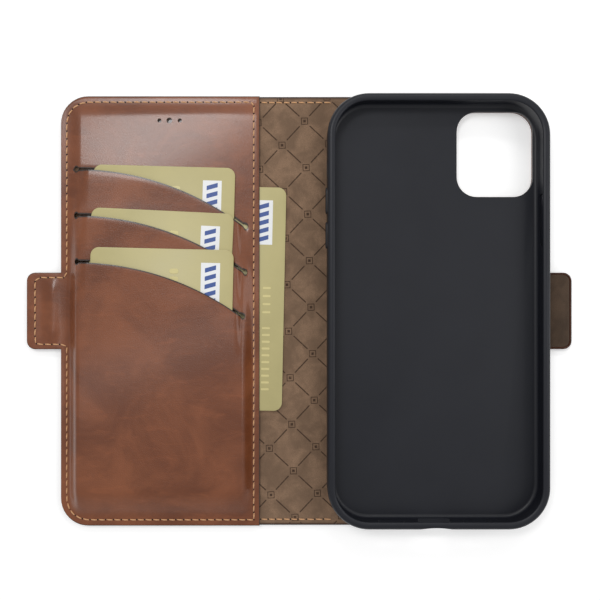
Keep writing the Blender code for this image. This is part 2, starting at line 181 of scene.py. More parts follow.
class LiningSettings(bpy.types.PropertyGroup):
    """Brushed suede with a printed lattice."""

    suede: colour("Suede", "Colour of the nap", (0.235, 0.147, 0.092))
    print_ink: colour("Print", "Colour of the printed lines", (0.055, 0.030, 0.018))
    cell: size("Cell", "Side of one diamond of the lattice", 12.65 * MM)
    stroke: size("Stroke", "Width of a printed line", 0.34 * MM)


class CardSettings(bpy.types.PropertyGroup):
    """Gold bank cards with blank markings."""

    gold: colour("Gold", "Colour of the card's face", (0.500, 0.440, 0.205))
    white: colour("Label", "Colour of the label's ground", (0.860, 0.870, 0.880))
    blue: colour("Bars", "Colour of the bars on the label", (0.050, 0.100, 0.320))


class TraySettings(bpy.types.PropertyGroup):
    """Soft moulded tray that holds the phone."""

    black: colour("Plastic", "Colour of the moulded plastic", (0.0090, 0.0102, 0.0155))
    wall: size("Wall", "Thickness of the tray's walls", 2.1 * MM)
    floor: size("Floor", "Height of the bed the phone lies on", 3.5 * MM)


class StageSettings(bpy.types.PropertyGroup):
    """Floor, sky and lights."""

    floor: colour("Floor", "Colour of the floor", (0.930, 0.930, 0.930))
    glow: amount("Glow", "Strength of the light from inside the floor", 0.30, 0.0, 5.0)
    sky: amount("Sky", "Strength of the even light from all round", 0.50, 0.0, 5.0)
    key: amount("Key", "Power of the soft light above, in watts", 1.0, 0.0, 50.0)
    fill: amount("Fill", "Power of the light opposite, in watts", 0.5, 0.0, 50.0)
    rim: amount("Rim", "Power of the long low light beyond the top edge, in watts", 0.5, 0.0, 50.0)
    band: amount("Band", "Power of the narrow light over the flap, in watts", 0.14, 0.0, 50.0)


# ---------------------------------------------------------------- node tools

class Recipe:
    """A node tree written step by step: each call adds one node and joins its inputs."""

    def __init__(self, tree):
        self.tree = tree
        self.count = 0

    def add(self, kind, inputs=None, **settings):
        node = self.tree.nodes.new("ShaderNode" + kind)
        node.location = (180 * self.count, -60 * (self.count % 5))
        self.count += 1
        for key, value in settings.items():
            setattr(node, key, value)
        for key, value in (inputs or {}).items():
            if isinstance(value, bpy.types.NodeSocket):
                self.tree.links.new(value, node.inputs[key])
            else:
                node.inputs[key].default_value = value
        return node

    def math(self, operation, first, second=0.0, third=0.0):
        node = self.add("Math", {0: first, 1: second, 2: third}, operation=operation)
        return node.outputs[0]

    def vector(self, operation, first, second=(0, 0, 0)):
        return self.add("VectorMath", {0: first, 1: second}, operation=operation).outputs[0]

    def scaled(self, vector, size_of_one):
        """The vector in units of the given size."""
        factor = self.math("DIVIDE", 1.0, size_of_one)
        return self.add("VectorMath", {0: vector, "Scale": factor}, operation="SCALE").outputs[0]

    def mix(self, factor, first, second, blend="MIX"):
        """Colour first where the factor is 0, second where it is 1."""
        node = self.add("Mix", {0: factor, 6: first, 7: second}, data_type="RGBA", blend_type=blend)
        return node.outputs[2]

    def remap(self, value, low, high, to_low=0.0, to_high=1.0):
        """A smooth step from to_low, below low, to to_high, above high."""
        node = self.add("MapRange", {0: value, 1: low, 2: high, 3: to_low, 4: to_high},
                        interpolation_type="SMOOTHSTEP")
        return node.outputs[0]

    def noise(self, vector, scale, detail=3.0, roughness=0.55, distortion=0.0):
        node = self.add("TexNoise", {"Vector": vector, "Scale": scale, "Detail": detail,
                                     "Roughness": roughness, "Distortion": distortion})
        return node.outputs[0]


def group(name, inputs, outputs):
    """A shader node group with the named sockets: its steps, its input node and its output node."""
    tree = bpy.data.node_groups.new(name, "ShaderNodeTree")
    for label, kind, default in inputs:
        socket = tree.interface.new_socket(label, in_out="INPUT", socket_type="NodeSocket" + kind)
        if default is not None:
            socket.default_value = default
    for label, kind in outputs:
        tree.interface.new_socket(label, in_out="OUTPUT", socket_type="NodeSocket" + kind)
    steps = Recipe(tree)
    return steps, tree.nodes.new("NodeGroupInput").outputs, tree.nodes.new("NodeGroupOutput").inputs


def put_out(steps, sockets, results):
    """Joins each result to the group's output socket of the same name."""
    for label, result in results.items():
        steps.tree.links.new(result, sockets[label])


# ---------------------------------------------------------------- shared surface effects

def grain_group():
    """Leather grain: pebbles between fine creases, long soft wrinkles and cloudy colour."""
    steps, given, out = group("Leather grain", (
        ("Vector", "Vector", None), ("Pebble", "Float", 0.0008), ("Wrinkle", "Float", 0.5),
    ), (("Height", "Float"), ("Cloud", "Float"), ("Pull", "Float")))
    unit = steps.scaled(given["Vector"], given["Pebble"])
    bent = steps.vector("ADD", unit, steps.noise(unit, 0.9, 2.0))
    crease = steps.add("TexVoronoi", {"Vector": bent, "Scale": 1.0},
                       feature="DISTANCE_TO_EDGE").outputs["Distance"]
    pebble = steps.remap(crease, 0.0, 0.28)
    pore = steps.remap(steps.noise(unit, 2.3, 4.0), 0.30, 0.62)
    long_way = steps.vector("MULTIPLY", given["Vector"], (34.0, 120.0, 60.0))
    fold = steps.noise(long_way, 1.0, 4.0, 0.6, 0.8)
    wrinkle = steps.math("MULTIPLY", fold, given["Wrinkle"])
    height = steps.math("MULTIPLY_ADD", pebble, 0.35, steps.math("MULTIPLY", pore, 0.25))
    cloud = steps.remap(steps.noise(given["Vector"], 38.0, 5.0, 0.62, 0.6), 0.32, 0.70)
    pull = steps.remap(steps.noise(long_way, 2.2, 6.0, 0.68, 1.2), 0.50, 0.78)
    put_out(steps, out, {"Height": steps.math("ADD", height, wrinkle), "Cloud": cloud,
                         "Pull": pull})
    return steps.tree


def rub_group():
    """Rubbed edge: a mask that follows the piece's own edge value, broken up by fine noise."""
    steps, given, out = group("Rubbed edge", (
        ("Vector", "Vector", None), ("Edge", "Float", 0.0), ("Ragged", "Float", 0.3),
    ), (("Mask", "Float"),))
    rough = steps.noise(given["Vector"], 900.0, 4.0)
    centred = steps.math("SUBTRACT", rough, 0.5)
    uneven = steps.math("MULTIPLY_ADD", centred, given["Ragged"], given["Edge"])
    put_out(steps, out, {"Mask": steps.remap(uneven, 0.28, 0.72)})
    return steps.tree


def nap_group():
    """Brushed fibre: short tufts, cloudy strokes where the nap lies another way, and lint."""
    steps, given, out = group("Brushed fibre", (
        ("Vector", "Vector", None), ("Fibre", "Float", 0.0004),
    ), (("Height", "Float"), ("Stroke", "Float"), ("Tuft", "Float")))
    unit = steps.scaled(given["Vector"], given["Fibre"])
    tuft = steps.noise(unit, 0.9, 5.0, 0.7)
    lying = steps.vector("MULTIPLY", unit, (0.5, 0.16, 0.5))
    fibre = steps.noise(lying, 1.4, 3.0, 0.6, 0.5)
    stroke = steps.remap(steps.noise(given["Vector"], 120.0, 4.0, 0.6, 0.4), 0.35, 0.68)
    height = steps.math("MULTIPLY_ADD", fibre, 0.5, tuft)
    put_out(steps, out, {"Height": height, "Stroke": stroke, "Tuft": steps.remap(tuft, 0.32, 0.68)})
    return steps.tree


def lattice_group():
    """Printed diamond lattice: lines along both ways that stop short of each crossing, where a
    small outlined square with a dot sits instead."""
    steps, given, out = group("Diamond lattice", (
        ("Vector", "Vector", None), ("Cell", "Float", 0.01265), ("Stroke", "Float", 0.00034),
    ), (("Ink", "Float"),))
    half = steps.math("DIVIDE", given["Cell"], 2.0)
    parts = steps.add("SeparateXYZ", {0: given["Vector"]}).outputs
    along, across = (steps.math("PINGPONG", parts[axis], half) for axis in (0, 1))
    thin = steps.math("DIVIDE", given["Stroke"], 2.0)
    clear = steps.math("MULTIPLY", given["Stroke"], 7.5)

    def line(near, far):
        offset = steps.math("SUBTRACT", near, thin)
        drawn = steps.remap(offset, 0.0, 0.00012, 1.0, 0.0)
        gap = steps.math("SUBTRACT", far, clear)
        return steps.math("MULTIPLY", drawn, steps.remap(gap, 0.0, 0.0003))

    lines = steps.math("MAXIMUM", line(along, across), line(across, along))
    reach = steps.math("ADD", along, across)
    ring_at = steps.math("MULTIPLY", given["Stroke"], 5.0)
    ring = steps.math("ABSOLUTE", steps.math("SUBTRACT", reach, ring_at))
    ring = steps.remap(ring, 0.00012, 0.00030, 1.0, 0.0)
    dot = steps.remap(reach, 0.0006, 0.0008, 1.0, 0.0)
    motif = steps.math("MAXIMUM", ring, dot)
    worn = steps.remap(steps.noise(given["Vector"], 1500.0, 3.0), 0.25, 0.5, 0.45, 1.0)
    ink = steps.math("MULTIPLY", steps.math("MAXIMUM", lines, motif), worn)
    put_out(steps, out, {"Ink": ink})
    return steps.tree


def speck_group():
    """Fine dust and scuffs: small pale specks, and faint cloudy patches for the gloss."""
    steps, given, out = group("Dust", (
        ("Vector", "Vector", None), ("Speck", "Float", 0.0003), ("Cover", "Float", 0.3),
    ), (("Mask", "Float"), ("Cloud", "Float"), ("Height", "Float")))
    fine = steps.noise(steps.scaled(given["Vector"], given["Speck"]), 1.0, 3.0, 0.6)
    spots = steps.remap(fine, 0.66, 0.76)
    cloud = steps.noise(given["Vector"], 55.0, 4.0, 0.6)
    mask = steps.math("MULTIPLY", spots, given["Cover"])
    put_out(steps, out, {"Mask": mask, "Cloud": cloud, "Height": fine})
    return steps.tree


# ---------------------------------------------------------------- finishes

def finish(name, metallic=0.0, coat=0.0, coat_roughness=0.2, sheen=0.0, specular=0.5):
    """A Principled material whose constants sit on the shader: its steps, its shader and its
    Object coordinates."""
    made = bpy.data.materials.new(name)
    made.use_nodes = True
    steps = Recipe(made.node_tree)
    shader = made.node_tree.nodes["Principled BSDF"]
    for label, value in (("Metallic", metallic), ("Coat Weight", coat), ("Sheen Weight", sheen),
                         ("Coat Roughness", coat_roughness), ("Specular IOR Level", specular)):
        shader.inputs[label].default_value = value
    return made, steps, shader, steps.add("TexCoord").outputs["Object"]


def attach(steps, shader, tint, roughness, height, depth):
    """Joins the colour, the roughness and a bump of the given depth in metres to the shader."""
    bump = steps.add("Bump", {"Height": height, "Distance": depth, "Strength": 1.0})
    for label, result in (("Base Color", tint), ("Roughness", roughness),
                          ("Normal", bump.outputs[0])):
        steps.tree.links.new(result, shader.inputs[label])


def opaque(rgb):
    """A colour setting as a socket value."""
    return (*rgb, 1.0)


def leather(name, groups, pale, dark, paint, pebble, wrinkle, gloss, roughness):
    """Polished leather: cloudy tan, pulled-up streaks, pebbled grain and a painted edge."""
    made, steps, shader, place = finish(name, coat=gloss, coat_roughness=0.17, specular=0.3)
    grain = steps.add("Group", {"Vector": place, "Pebble": pebble, "Wrinkle": wrinkle},
                      node_tree=groups["grain"]).outputs
    edge = steps.add("Attribute", attribute_name="edge").outputs["Fac"]
    rub = steps.add("Group", {"Vector": place, "Edge": edge, "Ragged": 0.25},
                    node_tree=groups["rub"]).outputs
    body = steps.mix(grain["Cloud"], opaque(dark), opaque(pale))
    streak = steps.math("MULTIPLY", grain["Pull"], 0.35)
    lifted = steps.mix(streak, body, opaque([min(1.0, 1.45 * part) for part in pale]))
    pitted = steps.mix(steps.remap(grain["Height"], 0.15, 0.55, 0.35, 0.0), lifted, opaque(dark))
    tint = steps.mix(rub["Mask"], pitted, opaque(paint))
    gloss_map = steps.math("MULTIPLY_ADD", grain["Cloud"], 0.10, roughness)
    attach(steps, shader, tint, gloss_map, grain["Height"], 0.00007)
    return made


def suede(name, groups, base, ink, lattice=None):
    """Brushed suede: dark and pale strokes of nap, with the printed lattice if one is given.

    lattice holds the place of one crossing, the turn in degrees, the cell and the stroke.
    """
    made, steps, shader, place = finish(name, sheen=0.35, specular=0.15)
    nap = steps.add("Group", {"Vector": place, "Fibre": 0.0003}, node_tree=groups["nap"]).outputs
    edge = steps.add("Attribute", attribute_name="edge").outputs["Fac"]
    pale = opaque([min(1.0, 1.32 * part) for part in base])
    deep = opaque([0.62 * part for part in base])
    tint = steps.mix(nap["Stroke"], opaque([0.80 * part for part in base]), pale)
    tint = steps.mix(steps.math("MULTIPLY", nap["Tuft"], 0.55), tint, deep)
    if lattice:
        (x, y), degrees, cell, stroke = lattice
        moved = steps.vector("SUBTRACT", place, (x, y, 0.0))
        turned = steps.add("VectorRotate", {"Vector": moved, "Angle": math.radians(degrees)},
                           rotation_type="Z_AXIS").outputs[0]
        printed = steps.add("Group", {"Vector": turned, "Cell": cell, "Stroke": stroke},
                            node_tree=groups["lattice"]).outputs["Ink"]
        tint = steps.mix(printed, tint, opaque(ink))
    tint = steps.mix(steps.math("MULTIPLY", edge, 0.6), tint, opaque(ink))
    rough = steps.math("MULTIPLY_ADD", nap["Tuft"], 0.08, 0.86)
    attach(steps, shader, tint, rough, nap["Height"], 0.00010)
    return made


def plastic(name, groups, base, roughness, grain_size, depth, specular=0.45, metallic=0.0):
    """Moulded or plated surface: fine spark texture, faint clouds and a little dust."""
    made, steps, shader, place = finish(name, metallic=metallic, specular=specular)
    dust = steps.add("Group", {"Vector": place, "Speck": grain_size, "Cover": 0.22},
                     node_tree=groups["speck"]).outputs
    dark, pale = ([scale * part for part in base] for scale in (0.88, 1.14))
    tint = steps.mix(dust["Cloud"], opaque(dark), opaque(pale))
    tint = steps.mix(dust["Mask"], tint, opaque([min(1.0, part + 0.05) for part in base]))
    rough = steps.math("MULTIPLY_ADD", dust["Cloud"], 0.14, roughness)
    attach(steps, shader, tint, rough, dust["Height"], depth)
    return made


def fibre_board(name, groups, base, fibre, depth):
    """Pressed or woven fibre, as in board, cloth and thread."""
    made, steps, shader, place = finish(name, sheen=0.2, specular=0.2)
    nap = steps.add("Group", {"Vector": place, "Fibre": fibre}, node_tree=groups["nap"]).outputs
    dark, pale = ([min(1.0, scale * part) for part in base] for scale in (0.62, 1.25))
    tint = steps.mix(nap["Tuft"], opaque(dark), opaque(pale))
    rough = steps.math("MULTIPLY_ADD", nap["Stroke"], 0.12, 0.68)
    attach(steps, shader, tint, rough, nap["Height"], depth)
    return made


def pale_floor(settings):
    """Smooth pale table top, lit a little from below, with faint clouds."""
    made, steps, shader, place = finish("Pale floor", specular=0.1)
    shader.inputs["Emission Color"].default_value = (1.0, 1.0, 1.0, 1.0)
    shader.inputs["Emission Strength"].default_value = settings.glow
    cloud = steps.noise(place, 3.0, 2.0)
    tint = steps.mix(cloud, opaque([0.99 * part for part in settings.floor]),
                     opaque(settings.floor))
    attach(steps, shader, tint, steps.math("MULTIPLY_ADD", cloud, 0.05, 0.8), cloud, 0.00001)
    return made


def make_finishes(scene):
    """Builds the shared groups once, and every finish of the case, by name."""
    groups = {"grain": grain_group(), "rub": rub_group(), "nap": nap_group(),
              "lattice": lattice_group(), "speck": speck_group()}
    skin, seam, lining = scene.wallet_leather, scene.wallet_stitch, scene.wallet_lining
    card, tray = scene.wallet_card, scene.wallet_tray
    lattice = ((-6.7 * MM, 63.7 * MM), 43.0, lining.cell, lining.stroke)
    # The back tab's suede is the lining's suede at 0.30 of its colour: painted shade, for the tab
    # lying in the tray's shade.
    shaded_suede = [0.30 * part for part in lining.suede]
    return {
        "tan": leather("Tan leather", groups, skin.tan, skin.brown, skin.paint, skin.pebble,
                       0.9, skin.gloss, 0.30),
        "cover": leather("Cover leather", groups, skin.cover, [0.7 * part for part in skin.cover],
                         skin.paint, 1.3 * skin.pebble, 0.5, 0.25, 0.44),
        "lining": suede("Printed suede", groups, lining.suede, lining.print_ink, lattice),
        "tab_suede": suede("Plain suede", groups, shaded_suede, lining.print_ink),
        "thread": fibre_board("Waxed thread", groups, seam.thread, 0.00009, 0.00003),
        # Near-black needle holes: painted shade of the holes, laid on the leather as flat lenses.
        "hole": fibre_board("Needle hole", groups, (0.020, 0.010, 0.006), 0.00020, 0.00002),
        "board": fibre_board("Grey board", groups, (0.30, 0.28, 0.25), 0.00035, 0.00003),
        "cloth": fibre_board("Pocket cloth", groups, (0.050, 0.032, 0.024), 0.00025, 0.00004),
        "glue": plastic("Adhesive sheet", groups, (0.55, 0.55, 0.52), 0.5, 0.0006, 0.00001),
        "magnet": plastic("Plated magnet", groups, (0.55, 0.54, 0.52), 0.22, 0.0004, 0.000003,
                          metallic=1.0),
        "tray": plastic("Soft black plastic", groups, tray.black, 0.34, 0.00022, 0.000010,
                        specular=0.36),
        "gold": plastic("Gold card", groups, card.gold, 0.30, 0.00012, 0.000004),
        "relief": plastic("Raised gilding", groups, [min(1.0, 1.35 * p) for p in card.gold], 0.25,
                          0.00012, 0.000003),
        "white": plastic("Label ground", groups, card.white, 0.35, 0.0002, 0.000002),
        "blue": plastic("Label bars", groups, card.blue, 0.35, 0.0002, 0.000002),
        "floor": pale_floor(scene.wallet_stage),
    }


FINISHES = {}


def finishes():
    """The finishes of the case, made the first time that a piece asks for one."""
    if not FINISHES:
        FINISHES.update(make_finishes(bpy.context.scene))
    return FINISHES


# ---------------------------------------------------------------- mesh tools

def new_piece(name, points, faces, material, sharp=35.0, edge=None):
    """A mesh object at the origin from arrays of points and faces, smooth but for sharp angles."""
    mesh = bpy.data.meshes.new(name)
    mesh.from_pydata(np.asarray(points).reshape(-1, 3).tolist(), [], [list(f) for f in faces])
    mesh.shade_smooth()
    mesh.set_sharp_from_angle(angle=math.radians(sharp))
    if edge is not None:
        mesh.attributes.new("edge", "FLOAT", "POINT").data.foreach_set(
            "value", np.asarray(edge, np.float32).ravel())
    mesh.materials.append(material)
    made = bpy.data.objects.new(name, mesh)
    bpy.context.scene.collection.objects.link(made)
    return made


def smooth_step(value, low, high):
    """0 below low, 1 above high, and 3t^2 - 2t^3 between them."""
    t = np.clip((value - low) / (high - low), 0.0, 1.0)
    return t * t * (3.0 - 2.0 * t)


def slab(upper, lower, kept):
    """Points and quads of a closed slab.

    upper and lower are grids of points of one size, with x rising along the first index and y
    along the second. Every kept cell gets a quad on each side, and a wall stands wherever a kept
    cell has no kept neighbour. Points that no face uses are dropped.
    """
    columns, rows = upper.shape[:2]
    index = np.arange(columns * rows).reshape(columns, rows)
    under = columns * rows
    a, b, c, d = index[:-1, :-1], index[1:, :-1], index[1:, 1:], index[:-1, 1:]
    faces = [np.stack([a, b, c, d], -1)[kept],
             (np.stack([d, c, b, a], -1) + under)[kept]]
    fence = np.pad(kept, 1)
    sides = (((1, 0), a, b), ((2, 1), b, c), ((1, 2), c, d), ((0, 1), d, a))
    for (i, j), start, end in sides:
        bare = kept & ~fence[i:i + columns - 1, j:j + rows - 1]
        s, e = start[bare], end[bare]
        faces.append(np.stack([s + under, e + under, e, s], -1))
    faces = np.concatenate(faces)
    used, faces = np.unique(faces, return_inverse=True)
    points = np.concatenate([upper.reshape(-1, 3), lower.reshape(-1, 3)])
    return points[used], faces.reshape(-1, 4), used


def rounded_path(x_span, y_span, radius, corner_steps=12, long_steps=1):
    """A rounded rectangle, counter-clockwise: four quarter circles, joined by straight runs that
    are cut into long_steps. Returns the points and their outward normals."""
    centres = ((x_span[1] - radius, y_span[1] - radius), (x_span[0] + radius, y_span[1] - radius),
               (x_span[0] + radius, y_span[0] + radius), (x_span[1] - radius, y_span[0] + radius))
    turn = np.linspace(0.0, math.pi / 2, corner_steps + 1)
    points, normals = [], []
    for quarter, (x, y) in enumerate(centres):
        angle = turn + quarter * math.pi / 2
        away = np.stack([np.cos(angle), np.sin(angle)], -1)
        points.append(np.array((x, y)) + radius * away)
        normals.append(away)
        after = np.array(centres[(quarter + 1) % 4]) + radius * away[-1]
        share = np.linspace(0.0, 1.0, long_steps + 1)[1:-1, None]
        points.append(points[-1][-1] * (1 - share) + after * share)
        normals.append(np.repeat(away[-1:], long_steps - 1, axis=0))
    return np.concatenate(points), np.concatenate(normals)


def turned_solid(path, normals, section):
    """A solid from loops: loop k is the path moved inwards by section[k][0], at height
    section[k][1]. The last loop and the first are filled."""
    loops = [np.column_stack([path - inset * normals, np.full(len(path), z)])
             for inset, z in section]
    count, around = len(loops), len(path)
    index = np.arange(count * around).reshape(count, around)
    ahead = np.roll(index, -1, axis=1)
    faces = np.stack([index[:-1], ahead[:-1], ahead[1:], index[1:]], -1).reshape(-1, 4).tolist()
    faces += [index[0][::-1].tolist(), index[-1].tolist()]
    return np.concatenate(loops), faces


# A post's corner radius as a share of its half width, just short of a full circle.
ALMOST_ROUND = 0.999


def cut(piece, cutters):
    """Cuts the cutters out of the piece with exact Booleans, applied, and removes them."""
    for cutter in cutters:
        modifier = piece.modifiers.new("Cut", "BOOLEAN")
        modifier.operation, modifier.solver, modifier.object = "DIFFERENCE", "EXACT", cutter
    settled = piece.evaluated_get(bpy.context.evaluated_depsgraph_get())
    mesh = bpy.data.meshes.new_from_object(settled)
    mesh.shade_smooth()
    mesh.set_sharp_from_angle(angle=math.radians(35.0))
    piece.modifiers.clear()
    piece.data = mesh
    mesh.name = piece.name
    for cutter in cutters:
        bpy.data.objects.remove(cutter)
    return piece


def post(x_span, y_span, z_span, radius, steps=8):
    """A rounded upright post, to cut an opening with."""
    path, normals = rounded_path(x_span, y_span, radius, steps)
    return new_piece("cutter", *turned_solid(path, normals, [(0.0, z) for z in z_span]), None)


def side_post(axis, across, height, along, radius):
    """A rounded post that lies along x (axis 0) or y (axis 1), to cut a side wall with."""
    path, normals = rounded_path(*((across, height) if axis == 0 else (height, across)), radius, 5)
    points, faces = turned_solid(path, normals, [(0.0, place) for place in along])
    order = (2, 0, 1) if axis == 0 else (1, 2, 0)
    return new_piece("cutter", points[:, order], faces, None)


def arc_stations(start, radius, steps, side=1):
    """Stations that lie evenly along a quarter circle which starts at the given edge."""
    return start + side * radius * (1 - np.cos(np.linspace(0.0, math.pi / 2, steps)))


def stations(*parts, least=0.2 * MM):
    """All the parts' values in order, leaving out those nearer than least to the one before."""
    values = np.unique(np.round(np.concatenate([np.atleast_1d(part) for part in parts]), 6))
    kept = [values[0]]
    for value in values[1:]:
        if value - kept[-1] >= least:
            kept.append(value)
    kept[-1] = values[-1]
    return np.array(kept)


# ---------------------------------------------------------------- shape of the case's leaves

BACK_RIGHT = BACK_X[1]
RIM_WIDTH = 3.0 * MM
CREASE_WIDTH = 1.7 * MM
# Close columns of the leaves' grids reach from each crease over the leaf, by 1.6 times the first,
# and over the spine, by the second.
BEND_LEAF = 0.8 * MM
BEND_SPINE = 5.0 * MM
LEAF_STEP = 2.2 * MM
LINING_INSET = 0.6 * MM
COVER_GROOVE, LINING_GROOVE = 0.30 * MM, 0.16 * MM


def depth_inside(x, y, x_span, half_y, radius):
    """Distance of a point inside a rounded rectangle from its outline."""
    middle, half_x = sum(x_span) / 2, (x_span[1] - x_span[0]) / 2
    over = np.stack([np.abs(x - middle) - half_x + radius, np.abs(y) - half_y + radius])
    outside = np.hypot(*np.maximum(over, 0.0))
    return radius - outside - np.minimum(over.max(axis=0), 0.0)


def bell(x, centre, width, height):
    """A bell curve along x: height times exp(-(distance / width)^2)."""
    return height * np.exp(-(((x - centre) / width) ** 2))


def groove(x, centre, depth):
    """A soft groove along a crease."""
    return bell(x, centre, CREASE_WIDTH, depth)


def leaf_grid(x_span, inset):
    """Columns of points over one half of the opened case, drawn in from its outline by inset."""
    left, right = x_span
    parts = [np.linspace(left, right, int((right - left) / LEAF_STEP) + 2)]
    for crease, side in ((FLAP_CREASE, 1), (BACK_CREASE, -1)):
        if left < crease < right:
            parts.append(crease + side * np.linspace(-1.6 * BEND_LEAF, BEND_SPINE, 18))
    if left <= FLAP_X[0] + inset:
        parts.append(arc_stations(left, CORNER_R - inset, 9))
        parts.append([left + 0.4 * MM])
    if right >= BACK_RIGHT - inset:
        parts.append(arc_stations(right, CORNER_R - inset, 9, -1))
        parts.append([right - 0.4 * MM])
    x = stations(*parts, least=0.12 * MM)
    share = np.concatenate([[0.0, 0.005, 0.012, 0.019, 0.03],
                            np.linspace(0.04, 0.96, int(2 * HALF_Y / LEAF_STEP))])
    share = np.unique(np.round(np.concatenate([share, 1.0 - share]), 5))
    radius = CORNER_R - inset
    into = np.clip(np.minimum(x - FLAP_X[0], BACK_RIGHT - x) - inset, 0.0, radius)
    end = HALF_Y - inset - radius + np.sqrt(radius**2 - (radius - into) ** 2)
    return np.repeat(x[:, None], len(share), 1), end[:, None] * (2.0 * share[None, :] - 1.0)


def edge_value(x, y, inset):
    """1 on the outline, falling to 0 over half a millimetre inside it."""
    depth = depth_inside(x, y, (FLAP_X[0] + inset, BACK_RIGHT - inset), HALF_Y - inset,
                         CORNER_R - inset)
    return 1.0 - smooth_step(depth, 0.0, 0.55 * MM)


def leaf(name, x_span, inset, bottom, top, material):
    """One half of a leaf as a closed slab, from its underside and its upper side."""
    x, y = leaf_grid(x_span, inset)
    edge = edge_value(x, y, inset)
    lower, upper = (np.stack([x, y, height(x, y)], -1) for height in (bottom, top))
    kept = np.ones((x.shape[0] - 1, x.shape[1] - 1), bool)
    points, faces, used = slab(upper, lower, kept)
    return new_piece(name, points, faces, material, edge=np.tile(edge.ravel(), 2)[used])


def cover_bottom(x, y):
    """Outside of the case: flat, with soft grooves at the creases and a rounded arris."""
    depth = depth_inside(x, y, (FLAP_X[0], BACK_RIGHT), HALF_Y, CORNER_R)
    arris = 0.18 * MM * (1.0 - smooth_step(depth, 0.0, 0.7 * MM))
    return arris + groove(x, FLAP_CREASE, COVER_GROOVE) + groove(x, BACK_CREASE, COVER_GROOVE)


def cover_top(x, y):
    """Inner side of the cover: its own thickness, and a rim that meets the lining's edge."""
    depth = depth_inside(x, y, (FLAP_X[0], BACK_RIGHT), HALF_Y, CORNER_R)
    rim = LINING_Z[0] - 0.06 * MM - LEATHER_Z[1]
    return LEATHER_Z[1] + rim * (1.0 - smooth_step(depth, 0.8 * RIM_WIDTH, RIM_WIDTH))


def lining_top(x, y):
    """The suede's face: flat, a little lower along the creases, tucked down at its edge."""
    inset = LINING_INSET
    depth = depth_inside(x, y, (FLAP_X[0] + inset, BACK_RIGHT - inset), HALF_Y - inset,
                         CORNER_R - inset)
    tuck = 0.14 * MM * (1.0 - smooth_step(depth, 0.0, 0.6 * MM))
    return LINING_Z[1] - tuck - groove(x, FLAP_CREASE, LINING_GROOVE) - groove(
        x, BACK_CREASE, LINING_GROOVE)


def lining_bottom(x, y):
    """The suede's back."""
    return np.full_like(x, LINING_Z[0]) - groove(x, FLAP_CREASE, LINING_GROOVE) - groove(
        x, BACK_CREASE, LINING_GROOVE)


def window_post(margin):
    """The camera window as a cutter, wider by margin on every side."""
    (left, right), (low, high) = WINDOW_X, WINDOW_Y
    return post((left - margin, right + margin), (low - margin, high + margin),
                THROUGH_Z, WINDOW_R + margin)


def sensor_posts():
    """The three sensor holes as cutters."""
    return [post((x - r, x + r), (SENSOR_Y - r, SENSOR_Y + r), THROUGH_Z, ALMOST_ROUND * r, 5)
            for x, r in SENSORS]


def bend_round(piece, leaf_body, crease, side):
    """Bakes the piece's placing into its mesh; it does not blend or bend the piece.
    side, 1 for the flap's crease and -1 for the back's, is not used."""
    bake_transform(piece)


def bent_pair(kind, inset, bottom, top, material):
    """One layer of the whole case: two leaves that meet on the spine, with their holes."""
    front = leaf(f"{kind}_front", (FLAP_X[0] + inset, SPINE_MIDDLE), inset, bottom, top, material)
    back = leaf(f"{kind}_back", (SPINE_MIDDLE, BACK_RIGHT - inset), inset, bottom, top, material)
    cut(front, sensor_posts())
    cut(back, [window_post(WINDOW_MARGIN)])
    bend_round(front, "flap", FLAP_CREASE, 1)
    bend_round(back, "back", BACK_CREASE, -1)
    return front, back


class WALLET_OT_cover(bpy.types.Operator):
    """Make the outer leather of the flap, spine and back, in two halves that meet on the spine"""

    bl_idname = "wallet.cover"
    bl_label = "Outer leather"

    def execute(self, context):
        front, back = bent_pair("cover", 0.0, cover_bottom, cover_top, finishes()["cover"])
        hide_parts("flap_outer_leather", "spine_outer_leather")
        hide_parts("back_outer_leather")
        return {"FINISHED"}


class WALLET_OT_lining(bpy.types.Operator):
    """Make the printed suede lining, in two halves that meet on the spine"""

    bl_idname = "wallet.lining"
    bl_label = "Suede lining"

    def execute(self, context):
        front, back = bent_pair("lining", LINING_INSET, lining_bottom, lining_top,
                                finishes()["lining"])
        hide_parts("flap_lining", "spine_lining")
        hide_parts("back_lining")
        return {"FINISHED"}


# ---------------------------------------------------------------- card sheet with its tab

PANEL_RIGHT = PANEL_X[1]
TAB_TIP = FLAP_TAB_X[0]
TAB_ROOT = PANEL_X[0]
PAINT_STEP = 0.4 * MM
SIDE_STEP = 4.0 * MM
# Below each slit the lip puffs up over the card, from just above the next card's top edge.
LIP_PUFF = 0.34 * MM
PUFF_STARTS = (40.0 * MM, 25.0 * MM, 2.0 * MM)
# Spans over which the sheet rises from its sewn edges and sinks to them again, along x or y.
LEFT_RISE = (-88.9 * MM, -83.5 * MM)
BOTTOM_RISE, TOP_FALL = (-79.8 * MM, -74 * MM), (75 * MM, 79.9 * MM)
# Spans over which the steps of the cards fade in and out: outside the slits, and between them.
SOFT_IN, SOFT_OUT = (-89.2 * MM, -83.2 * MM), (-22.2 * MM, -16.5 * MM)
FULL_IN, FULL_OUT = (-84.3 * MM, -81 * MM), (-23.9 * MM, -21.9 * MM)
STEPS_RISE = (-79.5 * MM, -67.5 * MM)
# Above the top slit the sheet sinks by this share, from the first height over the second length.
SINK, SINK_FROM, SINK_OVER = 0.3, 49.5 * MM, 26 * MM
# Centre, width and height of the tab's ridge and of the hollow beside it.
TAB_RIDGE = (-94.6 * MM, 2.1 * MM, 0.85 * MM)
TAB_HOLLOW = (-99.2 * MM, 1.5 * MM, 0.28 * MM)


def slit_line(number, x):
    """Height y of a slit: level at its left end, then R - sqrt(R^2 - run^2) lower to the right."""
    left, top, right = SLITS[number]
    run = np.clip(x - left, 0.0, right - left)
    return top - SLIT_R + np.sqrt(SLIT_R**2 - run**2)


